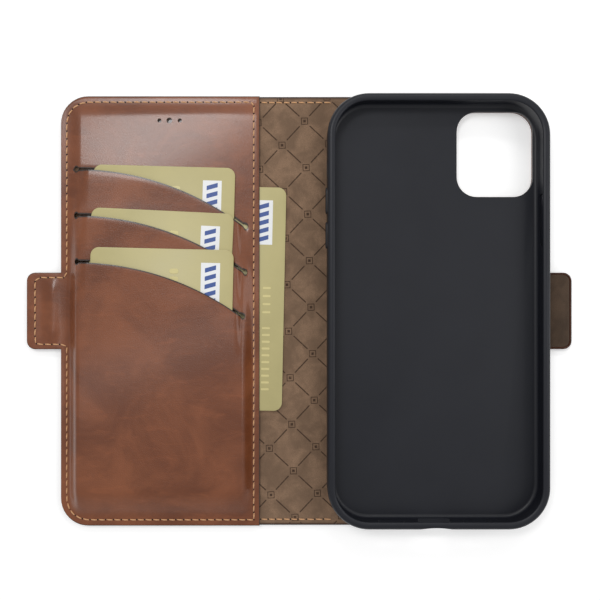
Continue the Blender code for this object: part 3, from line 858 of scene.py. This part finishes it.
def slit_half_width(number, x):
    """Half the slit's opening: narrow along it, round at its punched ends, closed outside them."""
    left, _, right = SLITS[number]
    inside = np.where((x >= left) & (x <= right), SLIT_HALF_WIDTH, SLIT_HALF_WIDTH / 4)
    reach = np.minimum(np.abs(x - left), np.abs(x - right))
    return np.maximum(inside, np.sqrt(np.maximum(SLIT_HOLE_R**2 - reach**2, 0.0)))


def card_lift(x, y, region):
    """How far the sheet's underside is above the lining.

    region counts the slits above the point. Inside its sewn edges the sheet clears the side
    card, and each region clears one more card than the one above it. Past the ends of the slits
    the steps run together into one smooth slope.
    """
    left = smooth_step(x, *LEFT_RISE)
    fall = SINK * np.clip((y - SINK_FROM) / SINK_OVER, 0.0, 1.0)
    ends = smooth_step(y, *BOTTOM_RISE) * (1 - smooth_step(y, *TOP_FALL)) * (1.0 - fall)
    lines = [slit_line(number, x) for number in (0, 1, 2)]
    marks = [lines[2] - SLIT_PITCH, lines[2], lines[1], lines[0]]
    slope = np.zeros_like(x)
    for low, high in zip(marks[:-1], marks[1:]):
        slope = slope + np.clip((high - y) / (high - low), 0.0, 1.0)
    soft = smooth_step(x, *SOFT_IN) * (1 - smooth_step(x, *SOFT_OUT))
    full = smooth_step(x, *FULL_IN) * (1 - smooth_step(x, *FULL_OUT))
    step = CARD_STEP * (slope * soft * (1 - full) + region * full)
    puff = np.zeros_like(x)
    for number, low in enumerate(PUFF_STARTS):
        near = smooth_step(y, low, lines[number] + 3 * MM) * smooth_step(lines[number] - low,
                                                                        2 * MM, 12 * MM)
        puff = puff + LIP_PUFF * near * full * (region == number + 1)
    return PANEL_LIFT * left * ends + step * smooth_step(y, *STEPS_RISE) + puff


def tab_ridge(x, y):
    """The soft ridge across the tab and the hollow beside it: two bell curves along x that fade
    out towards the tab's sewn sides."""
    across = 1.0 - smooth_step(np.abs(y), 0.45 * TAB_HALF_Y, 0.98 * TAB_HALF_Y)
    return (bell(x, *TAB_RIDGE) - bell(x, *TAB_HOLLOW)) * across


def sheet_top(x, y, region):
    """Upper side of the sheet, without its rolled edge."""
    return PANEL_Z + SHEET_T + card_lift(x, y, region) + tab_ridge(x, y)


def region_of(x, y):
    """How many slits are above a point."""
    return sum((slit_line(number, x) > y).astype(float) for number in range(3))


def column_ends(x):
    """Half the length of each column: the flap's with its rounded corners, or the tab's."""
    into = np.clip(x - TAB_ROOT, 0.0, CORNER_R)
    flap = HALF_Y - CORNER_R + np.sqrt(CORNER_R**2 - (CORNER_R - into) ** 2)
    into = np.clip(x - TAB_TIP, 0.0, TAB_R)
    tab = TAB_HALF_Y - TAB_R + np.sqrt(TAB_R**2 - (TAB_R - into) ** 2)
    return flap, tab


def even_rows(low, high, count, first=None, last=None):
    """Rows from low to high for every column, with a close row after the first, before the last,
    or both, at the given distances."""
    share = np.linspace(0.0, 1.0, count + 1)[None, :]
    rows = low[:, None] * (1 - share) + high[:, None] * share
    if first:
        rows = np.insert(rows, 1, low + first, axis=1)
    if last:
        rows = np.insert(rows, rows.shape[1] - 1, high - last, axis=1)
    return rows


def sheet_grid():
    """The sheet's grid: x, y, the region, the kept cells and the painted edge of each point."""
    slit_ends = [end + SLIT_HOLE_R * share for left, _, right in SLITS for end in (left, right)
                 for share in (-1, -0.87, -0.5, 0, 0.5, 0.87, 1)]
    x = stations(
        arc_stations(TAB_TIP, TAB_R, 7), np.linspace(TAB_TIP + TAB_R, TAB_ROOT, 12),
        arc_stations(TAB_ROOT, CORNER_R, 11), slit_ends, np.linspace(-80 * MM, -25 * MM, 52),
        np.linspace(-25 * MM, PANEL_RIGHT - PAINT_STEP, 11), [PANEL_RIGHT], least=0.1 * MM)
    flap, tab = column_ends(x)
    on_tab = x < TAB_ROOT - 0.01 * MM
    tab_low = np.where(on_tab, -tab, -TAB_HALF_Y)
    tab_high = np.where(on_tab, tab, slit_line(2, x) - SIDE_STEP)
    lips = [(slit_line(n, x) - slit_half_width(n, x), slit_line(n, x) + slit_half_width(n, x))
            for n in (2, 1, 0)]
    spans = (
        (-flap, tab_low, 48, PAINT_STEP, None, 3), (tab_low, tab_high, 26, PAINT_STEP,
                                                    PAINT_STEP, 3),
        (tab_high, lips[0][0], 4, None, None, 3), (lips[0][1], lips[1][0], 15, None, None, 2),
        (lips[1][1], lips[2][0], 15, None, None, 1), (lips[2][1], flap, 30, None, PAINT_STEP, 0))
    rows, regions, marks, count = [], [], [], 0
    for number, (low, high, steps, first, last, region) in enumerate(spans):
        part = even_rows(low, high, steps, first, last)
        if number in (1, 2):
            part = part[:, 1:]
        rows.append(part)
        regions.append(np.full(part.shape[1], float(region)))
        count += part.shape[1]
        marks.append(count - 1)
    y = np.concatenate(rows, axis=1)
    region = np.repeat(np.concatenate(regions)[None, :], len(x), 0)
    y[on_tab] = np.clip(y[on_tab], -tab[on_tab, None], tab[on_tab, None])
    first_tab, last_tab = marks[0], marks[1]
    grid_x = np.repeat(x[:, None], y.shape[1], 1)
    kept = np.ones((len(x) - 1, y.shape[1] - 1), bool)
    tab_cells = x[1:] < TAB_ROOT + 0.01 * MM
    kept[tab_cells, :first_tab] = False
    kept[tab_cells, last_tab:] = False
    middle = (x[:-1] + x[1:]) / 2
    for number, row in zip((2, 1, 0), marks[2:5]):
        left, _, right = SLITS[number]
        open_cells = (middle > left - SLIT_HOLE_R) & (middle < right + SLIT_HOLE_R)
        kept[open_cells, row] = False
    fence = np.pad(kept, 1)
    bare = ~(fence[:-1, :-1] & fence[1:, :-1] & fence[:-1, 1:] & fence[1:, 1:])
    return grid_x, y, region, kept, bare.astype(float)


class WALLET_OT_card_sheet(bpy.types.Operator):
    """Make the tan leather sheet with its card slits, sensor holes and the face of the tab"""

    bl_idname = "wallet.card_sheet"
    bl_label = "Card sheet"

    def execute(self, context):
        x, y, region, kept, edge = sheet_grid()
        top = sheet_top(x, y, region)
        rolled = 0.10 * MM * edge
        upper = np.stack([x, y, top - rolled], -1)
        lower = np.stack([x, y, top - SHEET_T], -1)
        points, faces, used = slab(upper, lower, kept)
        values = np.tile(edge.ravel(), 2)[used]
        sheet = new_piece("card_sheet", points, faces, finishes()["tan"], edge=values)
        cut(sheet, sensor_posts())
        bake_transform(sheet)
        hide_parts("card_panel", "flap_tab_inner_leather")
        return {"FINISHED"}


# ---------------------------------------------------------------- tabs and filled layers

FILLER_GAP = 0.5 * MM


def strap_grid(root, tip, inset, step):
    """Points of a tab from its root to its rounded tip, drawn in from the outline by inset."""
    side = 1 if tip > root else -1
    end, radius = tip - side * inset, TAB_R - inset
    x = stations(np.linspace(root, end, int(abs(end - root) / step) + 2),
                 arc_stations(end, radius, 7, -side), [end - side * PAINT_STEP], least=0.1 * MM)
    into = np.clip(np.abs(end - x), 0.0, radius)
    half = TAB_HALF_Y - inset - radius + np.sqrt(radius**2 - (radius - into) ** 2)
    share = np.concatenate([[-1.0, -0.985, -0.96], np.linspace(-0.93, 0.93, 22),
                            [0.96, 0.985, 1.0]])
    return np.repeat(x[:, None], len(share), 1), half[:, None] * share[None, :]


def strap_depth(x, y, tip, inset=0.0):
    """Distance of a point on a tab from the tab's outline, its root not counted."""
    far = tip - math.copysign(10 * TAB_HALF_Y, tip)
    ends = tip - math.copysign(inset, tip)
    return depth_inside(x, y, sorted((ends, far)), TAB_HALF_Y - inset, TAB_R - inset)


def strap(name, root, tip, inset, bottom, top, material):
    """A tab's layer as a closed slab between two heights, with the edge value of its outline."""
    x, y = strap_grid(root, tip, inset, 0.8 * MM)
    depth = strap_depth(x, y, tip, inset)
    upper = np.stack([x, y, top(x, y, depth)], -1)
    lower = np.stack([x, y, bottom(x, y, depth)], -1)
    kept = np.ones((x.shape[0] - 1, x.shape[1] - 1), bool)
    points, faces, used = slab(upper, lower, kept)
    edge = 1.0 - smooth_step(depth, 0.0, 0.5 * MM)
    return new_piece(name, points, faces, material, edge=np.tile(edge.ravel(), 2)[used])


def strap_underside(x, y, depth):
    """Outside of a tab: flat, with a rounded arris."""
    return 0.25 * MM * (1.0 - smooth_step(depth, 0.0, 0.8 * MM))


def strap_core(rim_top):
    """Inner side of a tab's outer leather: its thickness, and a narrow rim up to rim_top."""
    def height(x, y, depth):
        rim = 1.0 - smooth_step(depth, FILLER_GAP, FILLER_GAP + 0.25 * MM)
        rounded = 0.12 * MM * (1.0 - smooth_step(depth, 0.0, 0.4 * MM))
        return LEATHER_Z[1] + (rim_top - LEATHER_Z[1]) * rim - rounded
    return height


def suede_face(x, y, depth):
    """Suede face of the back tab: its edge tucked down, its middle crowned over the magnet."""
    base = span("back_tab_lining", 2)[1]
    crown = 0.45 * MM * smooth_step(depth, 0.0, 4.5 * MM)
    return base - 0.15 * MM + 0.20 * MM * smooth_step(depth, 0.0, 0.5 * MM) + crown


def suede_back(x, y, depth):
    """Back of the tab's suede."""
    return np.full_like(x, span("back_tab_lining", 2)[0])


class WALLET_OT_tabs(bpy.types.Operator):
    """Make the outer leather of both closing tabs and the back tab's suede face"""

    bl_idname = "wallet.tabs"
    bl_label = "Closing tabs"

    def execute(self, context):
        made = finishes()
        front = strap("flap_tab_cover", FLAP_X[0], TAB_TIP, 0.0, strap_underside,
                      strap_core(PANEL_Z - 0.06 * MM), made["cover"])
        back_tip = BACK_TAB_X[1]
        back = strap("back_tab_cover", BACK_RIGHT, back_tip, 0.0, strap_underside,
                     strap_core(span("back_tab_lining", 2)[1]), made["cover"])
        # The suede face takes the tab's suede, which is darkened as painted shade.
        face = strap("back_tab_suede", BACK_RIGHT + 0.15 * MM, back_tip, 0.85 * MM, suede_back,
                     suede_face, made["tab_suede"])
        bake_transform(front)
        for piece in (back, face):
            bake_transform(piece)
        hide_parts("flap_tab_leather")
        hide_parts("back_tab_leather")
        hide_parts("back_tab_lining")
        return {"FINISHED"}


class WALLET_OT_inner_layers(bpy.types.Operator):
    """Give the hidden boards, pocket cloths, magnets and adhesive their finishes"""

    bl_idname = "wallet.inner_layers"
    bl_label = "Inner layers"

    def execute(self, context):
        made = finishes()
        kinds = {"board": ("flap_board", "back_board", "flap_tab_filler", "back_tab_filler"),
                 "cloth": ("pocket_liner_upper", "pocket_liner_middle", "pocket_liner_lower"),
                 "magnet": ("flap_tab_magnet", "back_tab_magnet"), "glue": ("tray_adhesive",)}
        for kind, nodes in kinds.items():
            for node in nodes:
                frame["nodes"][node].material_slots[0].material = made[kind]
        return {"FINISHED"}


# ---------------------------------------------------------------- stitching

STITCH_SHARE = 0.84
AROUND = 8
ALONG = 6


def route(corners, closed):
    """A path through right-angled corners, each (x, y, radius): a corner becomes the quarter
    circle centre - r d2 cos(a) + r d1 sin(a), with d1 and d2 the ways in and out."""
    spots = np.array([corner[:2] for corner in corners])
    path = []
    for number, (x, y, radius) in enumerate(corners):
        here = spots[number]
        if not closed and number in (0, len(corners) - 1):
            path.append(here[None, :])
            continue
        into, out = here - spots[number - 1], spots[(number + 1) % len(spots)] - here
        into, out = into / np.linalg.norm(into), out / np.linalg.norm(out)
        angle = np.linspace(0.0, math.pi / 2, 9 if radius else 1)[:, None]
        centre = here - radius * into + radius * out
        path.append(centre - radius * out * np.cos(angle) + radius * into * np.sin(angle))
    if closed:
        path.append(path[0][:1])
    return np.concatenate(path)


def walk(path, places):
    """Points of a path at the given distances along it."""
    run = np.concatenate([[0.0], np.cumsum(np.linalg.norm(np.diff(path, axis=0), axis=1))])
    return np.stack([np.interp(places, run, path[:, axis]) for axis in (0, 1)], -1)


def stitch_ends(path, pitch):
    """Start and end of each stitch along a path, and the needle hole before it."""
    length = np.linalg.norm(np.diff(path, axis=0), axis=1).sum()
    count = max(int(round(length / pitch)), 1)
    step = length / count
    middle = (np.arange(count) + 0.5) * step
    half = STITCH_SHARE * step / 2
    return (walk(path, middle - half), walk(path, middle + half), walk(path, middle - step / 2))


def thread_mesh(start, end, surface, radius):
    """Stitches as two twisted plies: at share t the ring's radius is
    r (1 + 0.16 cos(2a - 4 pi t)), on an arch that dips into its needle holes at both ends."""
    t = np.linspace(0.0, 1.0, ALONG)
    way = end - start
    side = np.stack([-way[:, 1], way[:, 0]], -1) / np.linalg.norm(way, axis=1)[:, None]
    slant = 0.35 * radius * (1.0 - 2.0 * t)
    flat = (start[:, None] * (1 - t)[None, :, None] + end[:, None] * t[None, :, None]
            + side[:, None] * slant[None, :, None])
    rise = radius * (1.35 * np.sin(math.pi * t) ** 0.6 - 0.75)
    level = surface(flat[..., 0], flat[..., 1]) + rise[None, :]
    angle = np.linspace(0.0, 2 * math.pi, AROUND, endpoint=False)
    ring = radius * (1.0 + 0.16 * np.cos(2 * angle[None, :] - 4 * math.pi * t[:, None]))
    ring = ring * (0.72 + 0.28 * np.sin(math.pi * t))[:, None]
    across = (ring * np.cos(angle))[None, :, :, None] * side[:, None, None, :]
    points = np.zeros((len(start), ALONG, AROUND, 3))
    points[..., :2] = flat[:, :, None, :] + across
    points[..., 2] = level[:, :, None] + (ring * np.sin(angle))[None]
    index = np.arange(ALONG * AROUND).reshape(ALONG, AROUND)
    ahead = np.roll(index, -1, axis=1)
    quads = np.stack([index[:-1], ahead[:-1], ahead[1:], index[1:]], -1).reshape(-1, 4)
    caps = np.stack([index[0][::-1], index[-1]])
    shift = (np.arange(len(start)) * ALONG * AROUND)[:, None, None]
    return points, [*(quads + shift).reshape(-1, 4).tolist(),
                    *(caps + shift).reshape(-1, AROUND).tolist()]


def hole_mesh(spots, surface, radius):
    """Needle holes as flat dark lenses that lie in the surface, painted shade in place of cut
    holes: a ring, a top and a bottom.
    """
    angle = np.linspace(0.0, 2 * math.pi, AROUND, endpoint=False)
    ring = spots[:, None] + radius * np.stack([np.cos(angle), np.sin(angle)], -1)[None]
    middle = spots[:, None]
    flat = np.concatenate([ring, middle, middle], axis=1)
    level = surface(flat[..., 0], flat[..., 1])
    level[:, :AROUND + 1] += 0.02 * MM
    level[:, AROUND + 1] -= 0.15 * MM
    points = np.concatenate([flat, level[..., None]], axis=-1)
    index = np.arange(AROUND)
    ahead = np.roll(index, -1)
    top, bottom = np.full(AROUND, AROUND), np.full(AROUND, AROUND + 1)
    one = np.concatenate([np.stack([index, ahead, top], -1), np.stack([ahead, index, bottom], -1)])
    shift = (np.arange(len(spots)) * (AROUND + 2))[:, None, None]
    return points, (one[None] + shift).reshape(-1, 3)


def on_sheet(x, y):
    """Height of the card sheet's upper side."""
    return sheet_top(x, y, region_of(x, y))


def sew(name, start, end, holes, surface):
    """The thread and the needle holes, as patches of painted shade, of one seam: two objects."""
    settings, made = bpy.context.scene.wallet_stitch, finishes()
    thread = new_piece(f"{name}_thread", *thread_mesh(start, end, surface, settings.radius),
                       made["thread"], sharp=80.0)
    marks = new_piece(f"{name}_holes", *hole_mesh(holes, surface, 1.25 * settings.radius),
                      made["hole"])
    return thread, marks


class WALLET_OT_stitches(bpy.types.Operator):
    """Sew round the card sheet and its tab, and along both ends of the spine"""

    bl_idname = "wallet.stitches"
    bl_label = "Stitching"

    def execute(self, context):
        pitch = context.scene.wallet_stitch.pitch
        right, left = PANEL_RIGHT - 0.95 * STITCH_INSET, PANEL_X[0] + STITCH_INSET
        top, radius = HALF_Y - STITCH_INSET, CORNER_R - STITCH_INSET
        tab_y, tab_x, turn = TAB_HALF_Y - 1.9 * MM, TAB_TIP + 3.2 * MM, 1.3 * MM
        loop = route([(right, -top, 0), (right, top, 0), (left, top, radius),
                      (left, tab_y, turn), (tab_x, tab_y, turn), (tab_x, -tab_y, turn),
                      (left, -tab_y, turn), (left, -top, radius)], True)
        start, end, holes = stitch_ends(loop, pitch)
        on_tab = (start[:, 0] + end[:, 0]) / 2 < TAB_ROOT
        tab_holes = holes[:, 0] < TAB_ROOT
        for piece in sew("flap_seam", start[~on_tab], end[~on_tab], holes[~tab_holes], on_sheet):
            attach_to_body(piece, "flap")
            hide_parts("flap_seam")
        for piece in sew("tab_seam", start[on_tab], end[on_tab], holes[tab_holes], on_sheet):
            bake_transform(piece)
            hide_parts("flap_tab_seam")
        for place, y in (("top", top), ("bottom", -top)):
            halves = (("front", PANEL_RIGHT + 0.4 * MM, SPINE_MIDDLE - 0.2 * MM, "flap",
                       FLAP_CREASE, 1),
                      ("back", SPINE_MIDDLE + 0.2 * MM, BACK_CREASE + 2.4 * MM, "back",
                       BACK_CREASE, -1))
            for half, low, high, body, crease, side in halves:
                start, end, holes = stitch_ends(np.array([(low, y), (high, y)]), pitch)
                for piece in sew(f"spine_{place}_{half}", start, end, holes, lining_top):
                    bend_round(piece, body, crease, side)
                    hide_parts(f"spine_seam_{place}")
        return {"FINISHED"}


# ---------------------------------------------------------------- cards

LABEL_U, LABEL_V = (14.8 * MM, 22.0 * MM), (20.8 * MM, 37.8 * MM)
NAME_U, NUMBER_U = 20.3 * MM, 4.6 * MM
RAISED = 0.08 * MM


def card_place(name):
    """Centre of a card, its lean in radians, and the heights of its two faces."""
    x, y, lean = CARD_TOPS[name]
    angle = math.radians(lean)
    centre = np.array((x, y)) - CARD_SIZE[1] / 2 * np.array((math.sin(angle), math.cos(angle)))
    return centre, angle, span(f"card_{name}", 2)


def lay_on_card(points, centre, angle):
    """Turns points clockwise by the card's lean, about its centre, and moves them there."""
    points = np.asarray(points, float)
    x = points[:, 0] * math.cos(angle) + points[:, 1] * math.sin(angle)
    y = points[:, 1] * math.cos(angle) - points[:, 0] * math.sin(angle)
    return np.column_stack([x + centre[0], y + centre[1], points[:, 2]])


def raised_pads(u, v, half_u, half_v, radius, low, high, shear=0.0):
    """Many small rounded pads as one mesh: each a rounded rectangle with a bevelled top, whose
    sides lean by shear times the distance along u."""
    path, normals = rounded_path((-half_u, half_u), (-half_v, half_v), radius, 3)
    bevel = 0.3 * (high - low)
    points, faces = turned_solid(path, normals, [(0.0, low), (0.0, high - bevel), (bevel, high)])
    count = len(u)
    every = np.repeat(points[None], count, axis=0)
    every[..., 1] += shear * every[..., 0] + np.asarray(v)[:, None]
    every[..., 0] += np.asarray(u)[:, None]
    shifted = [[index + number * len(points) for index in face]
               for number in range(count) for face in faces]
    return every.reshape(-1, 3), shifted


def card_marks():
    """Places of a card's raised blanks: two words of the name, and four groups of the number."""
    name = np.concatenate([4.2 * MM - 3.1 * MM * np.arange(4),
                           -11.2 * MM - 2.6 * MM * np.arange(10)])
    group = np.arange(16)
    number = 34.4 * MM - 3.0 * MM * group - 3.2 * MM * (group // 4)
    return name, number


class WALLET_OT_cards(bpy.types.Operator):
    """Make the four gold cards, each with a white label, blank bars and raised blank marks"""

    bl_idname = "wallet.cards"
    bl_label = "Cards"

    def execute(self, context):
        made = finishes()
        for name in CARD_TOPS:
            centre, angle, (low, high) = card_place(name)
            half_u, half_v = CARD_SIZE[0] / 2, CARD_SIZE[1] / 2
            path, normals = rounded_path((-half_u, half_u), (-half_v, half_v), CARD_R, 10)
            arris = 0.10 * MM
            section = [(arris, low), (0.0, low + arris), (0.0, high - arris),
                       (0.3 * arris, high - 0.3 * arris), (arris, high)]
            plate = turned_solid(path, normals, section)
            label_middle = [sum(LABEL_U) / 2], [sum(LABEL_V) / 2]
            label = raised_pads(*label_middle, (LABEL_U[1] - LABEL_U[0]) / 2,
                                (LABEL_V[1] - LABEL_V[0]) / 2, 0.15 * MM, high - 0.05 * MM,
                                high + 0.02 * MM)
            bars = LABEL_V[1] - 2.3 * MM - 3.1 * MM * np.arange(5)
            bar = raised_pads(np.full(5, label_middle[0][0]), bars, 2.1 * MM, 0.85 * MM,
                              0.12 * MM, high, high + 0.035 * MM, 0.30)
            words, number = card_marks()
            letters = raised_pads(np.full(len(words), NAME_U), words, 1.55 * MM, 0.42 * MM,
                                  0.3 * MM, high - 0.05 * MM, high + RAISED)
            digits = raised_pads(np.full(len(number), NUMBER_U), number, 1.7 * MM, 0.95 * MM,
                                 0.8 * MM, high - 0.05 * MM, high + RAISED)
            pieces = (("plate", plate, "gold"), ("label", label, "white"), ("bars", bar, "blue"),
                      ("name_blanks", letters, "relief"), ("number_blanks", digits, "relief"))
            for kind, (points, faces), look in pieces:
                placed = lay_on_card(points, centre, angle)
                piece = new_piece(f"{name}_card_{kind}", placed, faces, made[look])
                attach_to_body(piece, f"{name}_card")
                if kind == "plate":
                    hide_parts(f"card_{name}")
        return {"FINISHED"}


# ---------------------------------------------------------------- phone tray

PAD_GAP = 0.3 * MM
PAD_CORNER = 1.3 * MM
PORT_X, PORT_Z, PORT_CORNER = (44.5 * MM, 57.2 * MM), (4.6 * MM, 10.0 * MM), 1.8 * MM
# From the port's lower edge up, the end wall's outside is hollowed by a shallow arc.
SCOOP_R, SCOOP_DEPTH = 26 * MM, 0.85 * MM
# The mute window in the left wall, and the two speaker slots in the end wall.
MUTE_Y, MUTE_HALF_Z, MUTE_CORNER = (50 * MM, 57.8 * MM), 2.4 * MM, 2.3 * MM
SPEAKERS_X, SPEAKER_HALF_Z, SPEAKER_CORNER = (
    (29.5 * MM, 40 * MM), (61.7 * MM, 72.2 * MM)), 1.1 * MM, 1.05 * MM
WALL_REACH = 4 * MM
FOOT_R, RIM_R, BED_R = 1.2 * MM, 1.55 * MM, 1.5 * MM
LIP_REACH, LIP_FALL = 1.4 * MM, 0.62 * MM


def tray_section(wall, floor, low, top):
    """The tray's section from its foot up the outside, over the rounded rim and lip, and down to
    the bed: pairs of inset and height."""
    foot = [(FOOT_R - FOOT_R * math.sin(a), low + FOOT_R - FOOT_R * math.cos(a))
            for a in np.linspace(0.0, math.pi / 2, 5)]
    side = [(0.10 * MM, (low + top) / 2)]
    rim = [(RIM_R * (1 - math.cos(a)), top - RIM_R * (1 - math.sin(a)))
           for a in np.linspace(0.0, math.pi / 2, 8)]
    lip = [(RIM_R + LIP_REACH * math.sin(a), top - LIP_FALL * (1 - math.cos(a)))
           for a in np.linspace(0.35, math.pi / 2, 5)]
    under = [(wall + 0.7 * MM, top - 0.95 * MM), (wall + 0.1 * MM, top - 1.25 * MM),
             (wall, top - 1.7 * MM), (wall, floor + BED_R)]
    bed = [(wall + BED_R * (1 - math.cos(a)), floor + BED_R * (1 - math.sin(a)))
           for a in np.linspace(0.35, math.pi / 2, 5)]
    return foot + side + rim + lip + under + bed


def pad_places():
    """Name and side of the tray of each push pad."""
    return (("side_button", 1), ("volume_up", -1), ("volume_down", -1))


class WALLET_OT_tray(bpy.types.Operator):
    """Make the soft tray with its rounded rim, camera window, port hole and slots"""

    bl_idname = "wallet.tray"
    bl_label = "Phone tray"

    def execute(self, context):
        settings = context.scene.wallet_tray
        x_span, y_span = (TRAY_LOW[0], TRAY_HIGH[0]), (TRAY_LOW[1], TRAY_HIGH[1])
        path, normals = rounded_path(x_span, y_span, TRAY_R, 16, 24)
        section = tray_section(settings.wall, settings.floor, TRAY_LOW[2], TRAY_HIGH[2])
        tray = new_piece("phone_tray_shell", *turned_solid(path, normals, section),
                         finishes()["tray"], sharp=50.0)
        cutters = [window_post(0.0)]
        middle = (span("side_button_pad", 2)[0] + span("side_button_pad", 2)[1]) / 2
        for name, side in pad_places():
            (_, low_y, low_z), (_, high_y, high_z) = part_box(f"{name}_pad")
            face = x_span[0] if side < 0 else x_span[1]
            cutters.append(side_post(0, (low_y - PAD_GAP, high_y + PAD_GAP),
                                     (low_z - PAD_GAP, high_z + PAD_GAP),
                                     (face - WALL_REACH, face + WALL_REACH), PAD_CORNER))
        cutters.append(side_post(0, MUTE_Y, (middle - MUTE_HALF_Z, middle + MUTE_HALF_Z),
                                 (x_span[0] - WALL_REACH, x_span[0] + WALL_REACH), MUTE_CORNER))
        bottom = (y_span[0] - 2 * MM, y_span[0] + settings.wall + 2.5 * MM)
        cutters.append(side_post(1, PORT_X, PORT_Z, bottom, PORT_CORNER))
        scoop_y = y_span[0] + SCOOP_DEPTH - SCOOP_R
        cutters.append(post(np.array((-SCOOP_R, SCOOP_R)) + sum(PORT_X) / 2,
                            np.array((-SCOOP_R, SCOOP_R)) + scoop_y,
                            (PORT_Z[0], THROUGH_Z[1]), ALMOST_ROUND * SCOOP_R, 48))
        for slot in SPEAKERS_X:
            cutters.append(side_post(1, slot, (middle - SPEAKER_HALF_Z, middle + SPEAKER_HALF_Z),
                                     bottom, SPEAKER_CORNER))
        cut(tray, cutters)
        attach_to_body(tray, "back")
        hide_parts("phone_tray")
        return {"FINISHED"}


class WALLET_OT_buttons(bpy.types.Operator):
    """Make the three push pads in the tray's walls, rounded and dished"""

    bl_idname = "wallet.buttons"
    bl_label = "Push pads"

    def execute(self, context):
        for name, side in pad_places():
            low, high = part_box(f"{name}_pad")
            path, normals = rounded_path((low.y, high.y), (low.z, high.z), PAD_CORNER, 6)
            deep = high.x - low.x
            section = [(0.25 * MM, 0.0), (0.0, 0.25 * MM), (0.0, deep - 0.45 * MM),
                       (0.12 * MM, deep - 0.15 * MM), (0.45 * MM, deep),
                       (0.80 * MM, deep - 0.12 * MM)]
            points, faces = turned_solid(path, normals, section)
            if side > 0:
                placed = np.column_stack([low.x + points[:, 2], points[:, 0], points[:, 1]])
            else:
                placed = np.column_stack([high.x - points[:, 2], points[:, 0], points[:, 1]])
                faces = [face[::-1] for face in faces]
            pad = new_piece(f"{name}_pad_cap", placed, faces, finishes()["tray"], sharp=50.0)
            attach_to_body(pad, name if side > 0 else f"{name}_button")
            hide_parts(f"{name}_pad")
        return {"FINISHED"}


# ---------------------------------------------------------------- stage

CAMERA_PLACE = (0.2 * MM, 4.2 * MM, 272 * MM)
CAMERA_LENS = 42.13
FLOOR_HALF = 3.0
FLOOR_TOP, FLOOR_THICK = -0.15 * MM, 20 * MM
# Each light's place, the point it faces, and its two sides, in metres. Its power is the stage
# setting of the same name.
LIGHTS = {
    "key": ((-0.165, 0.24, 0.60), (-0.03, 0.02, 0.0), (0.24, 0.11)),
    "fill": ((0.42, 0.02, 0.42), (0.0, 0.0, 0.0), (0.3, 0.3)),
    "rim": ((0.10, 0.46, 0.40), (0.05, 0.08, 0.01), (0.40, 0.07)),
    "band": ((-0.070, -0.02, 0.60), (-0.02, 0.0, 0.0), (0.05, 0.50)),
}


def soft_light(name, place, aim, sides, power):
    """A rectangular area light that faces a point."""
    light = bpy.data.lights.new(name, "AREA")
    light.shape, light.energy = "RECTANGLE", power
    light.size, light.size_y = sides
    made = bpy.data.objects.new(name, light)
    made.location = place
    made.rotation_euler = (Vector(aim) - Vector(place)).to_track_quat("-Z", "Y").to_euler()
    bpy.context.scene.collection.objects.link(made)
    return made


class WALLET_OT_stage(bpy.types.Operator):
    """Make the pale floor, the soft lights and the camera straight above the case"""

    bl_idname = "wallet.stage"
    bl_label = "Stage"

    def execute(self, context):
        scene, settings = context.scene, context.scene.wallet_stage
        steps = np.linspace(-FLOOR_HALF, FLOOR_HALF, 9)
        x, y = np.meshgrid(steps, steps, indexing="ij")
        upper = np.stack([x, y, np.full_like(x, FLOOR_TOP)], -1)
        lower = upper - (0.0, 0.0, FLOOR_THICK)
        points, faces, _ = slab(upper, lower, np.ones((8, 8), bool))
        floor = new_piece("floor", points, faces, finishes()["floor"])
        world = bpy.data.worlds.new("Soft studio")
        world.use_nodes = True
        background = world.node_tree.nodes["Background"]
        background.inputs["Color"].default_value = (1.0, 1.0, 1.0, 1.0)
        background.inputs["Strength"].default_value = settings.sky
        scene.world = world
        for name, (place, aim, sides) in LIGHTS.items():
            soft_light(f"{name}_light", place, aim, sides, getattr(settings, name))
        camera = bpy.data.cameras.new("camera")
        camera.lens, camera.sensor_width = CAMERA_LENS, 36.0
        camera.clip_start, camera.clip_end = 0.01, 20.0
        viewer = bpy.data.objects.new("camera", camera)
        viewer.location = CAMERA_PLACE
        scene.collection.objects.link(viewer)
        scene.camera = viewer
        scene.view_settings.view_transform = "Standard"
        return {"FINISHED"}


# ---------------------------------------------------------------- add-on

STEPS = (WALLET_OT_stage, WALLET_OT_cover, WALLET_OT_lining, WALLET_OT_card_sheet, WALLET_OT_tabs,
         WALLET_OT_stitches, WALLET_OT_cards, WALLET_OT_tray, WALLET_OT_buttons,
         WALLET_OT_inner_layers)
SETTINGS = (("wallet_leather", LeatherSettings), ("wallet_stitch", StitchSettings),
            ("wallet_lining", LiningSettings), ("wallet_card", CardSettings),
            ("wallet_tray", TraySettings), ("wallet_stage", StageSettings))


class WALLET_PT_panel(bpy.types.Panel):
    """Sizes, colours and build steps of the phone wallet"""

    bl_idname = "WALLET_PT_panel"
    bl_label = "Phone wallet case"
    bl_space_type = "VIEW_3D"
    bl_region_type = "UI"
    bl_category = "Wallet case"

    def draw(self, context):
        for name, kind in SETTINGS:
            box = self.layout.box()
            for label in kind.__annotations__:
                box.prop(getattr(context.scene, name), label)
        column = self.layout.column(align=True)
        for step in STEPS:
            column.operator(step.bl_idname)


def register():
    """Adds the settings, the operators and the panel."""
    for name, kind in SETTINGS:
        bpy.utils.register_class(kind)
        setattr(bpy.types.Scene, name, bpy.props.PointerProperty(type=kind))
    for kind in (*STEPS, WALLET_PT_panel):
        bpy.utils.register_class(kind)


def unregister():
    """Takes away the panel, the operators and the settings."""
    for kind in (WALLET_PT_panel, *reversed(STEPS)):
        bpy.utils.unregister_class(kind)
    for name, kind in reversed(SETTINGS):
        delattr(bpy.types.Scene, name)
        bpy.utils.unregister_class(kind)


def main():
    """Builds the whole case."""
    register()
    for step in STEPS:
        group_name, operator_name = step.bl_idname.split(".")
        if getattr(getattr(bpy.ops, group_name), operator_name)() != {"FINISHED"}:
            raise RuntimeError(f"{step.bl_label} wasn't finished")


if __name__ == "__main__":
    main()
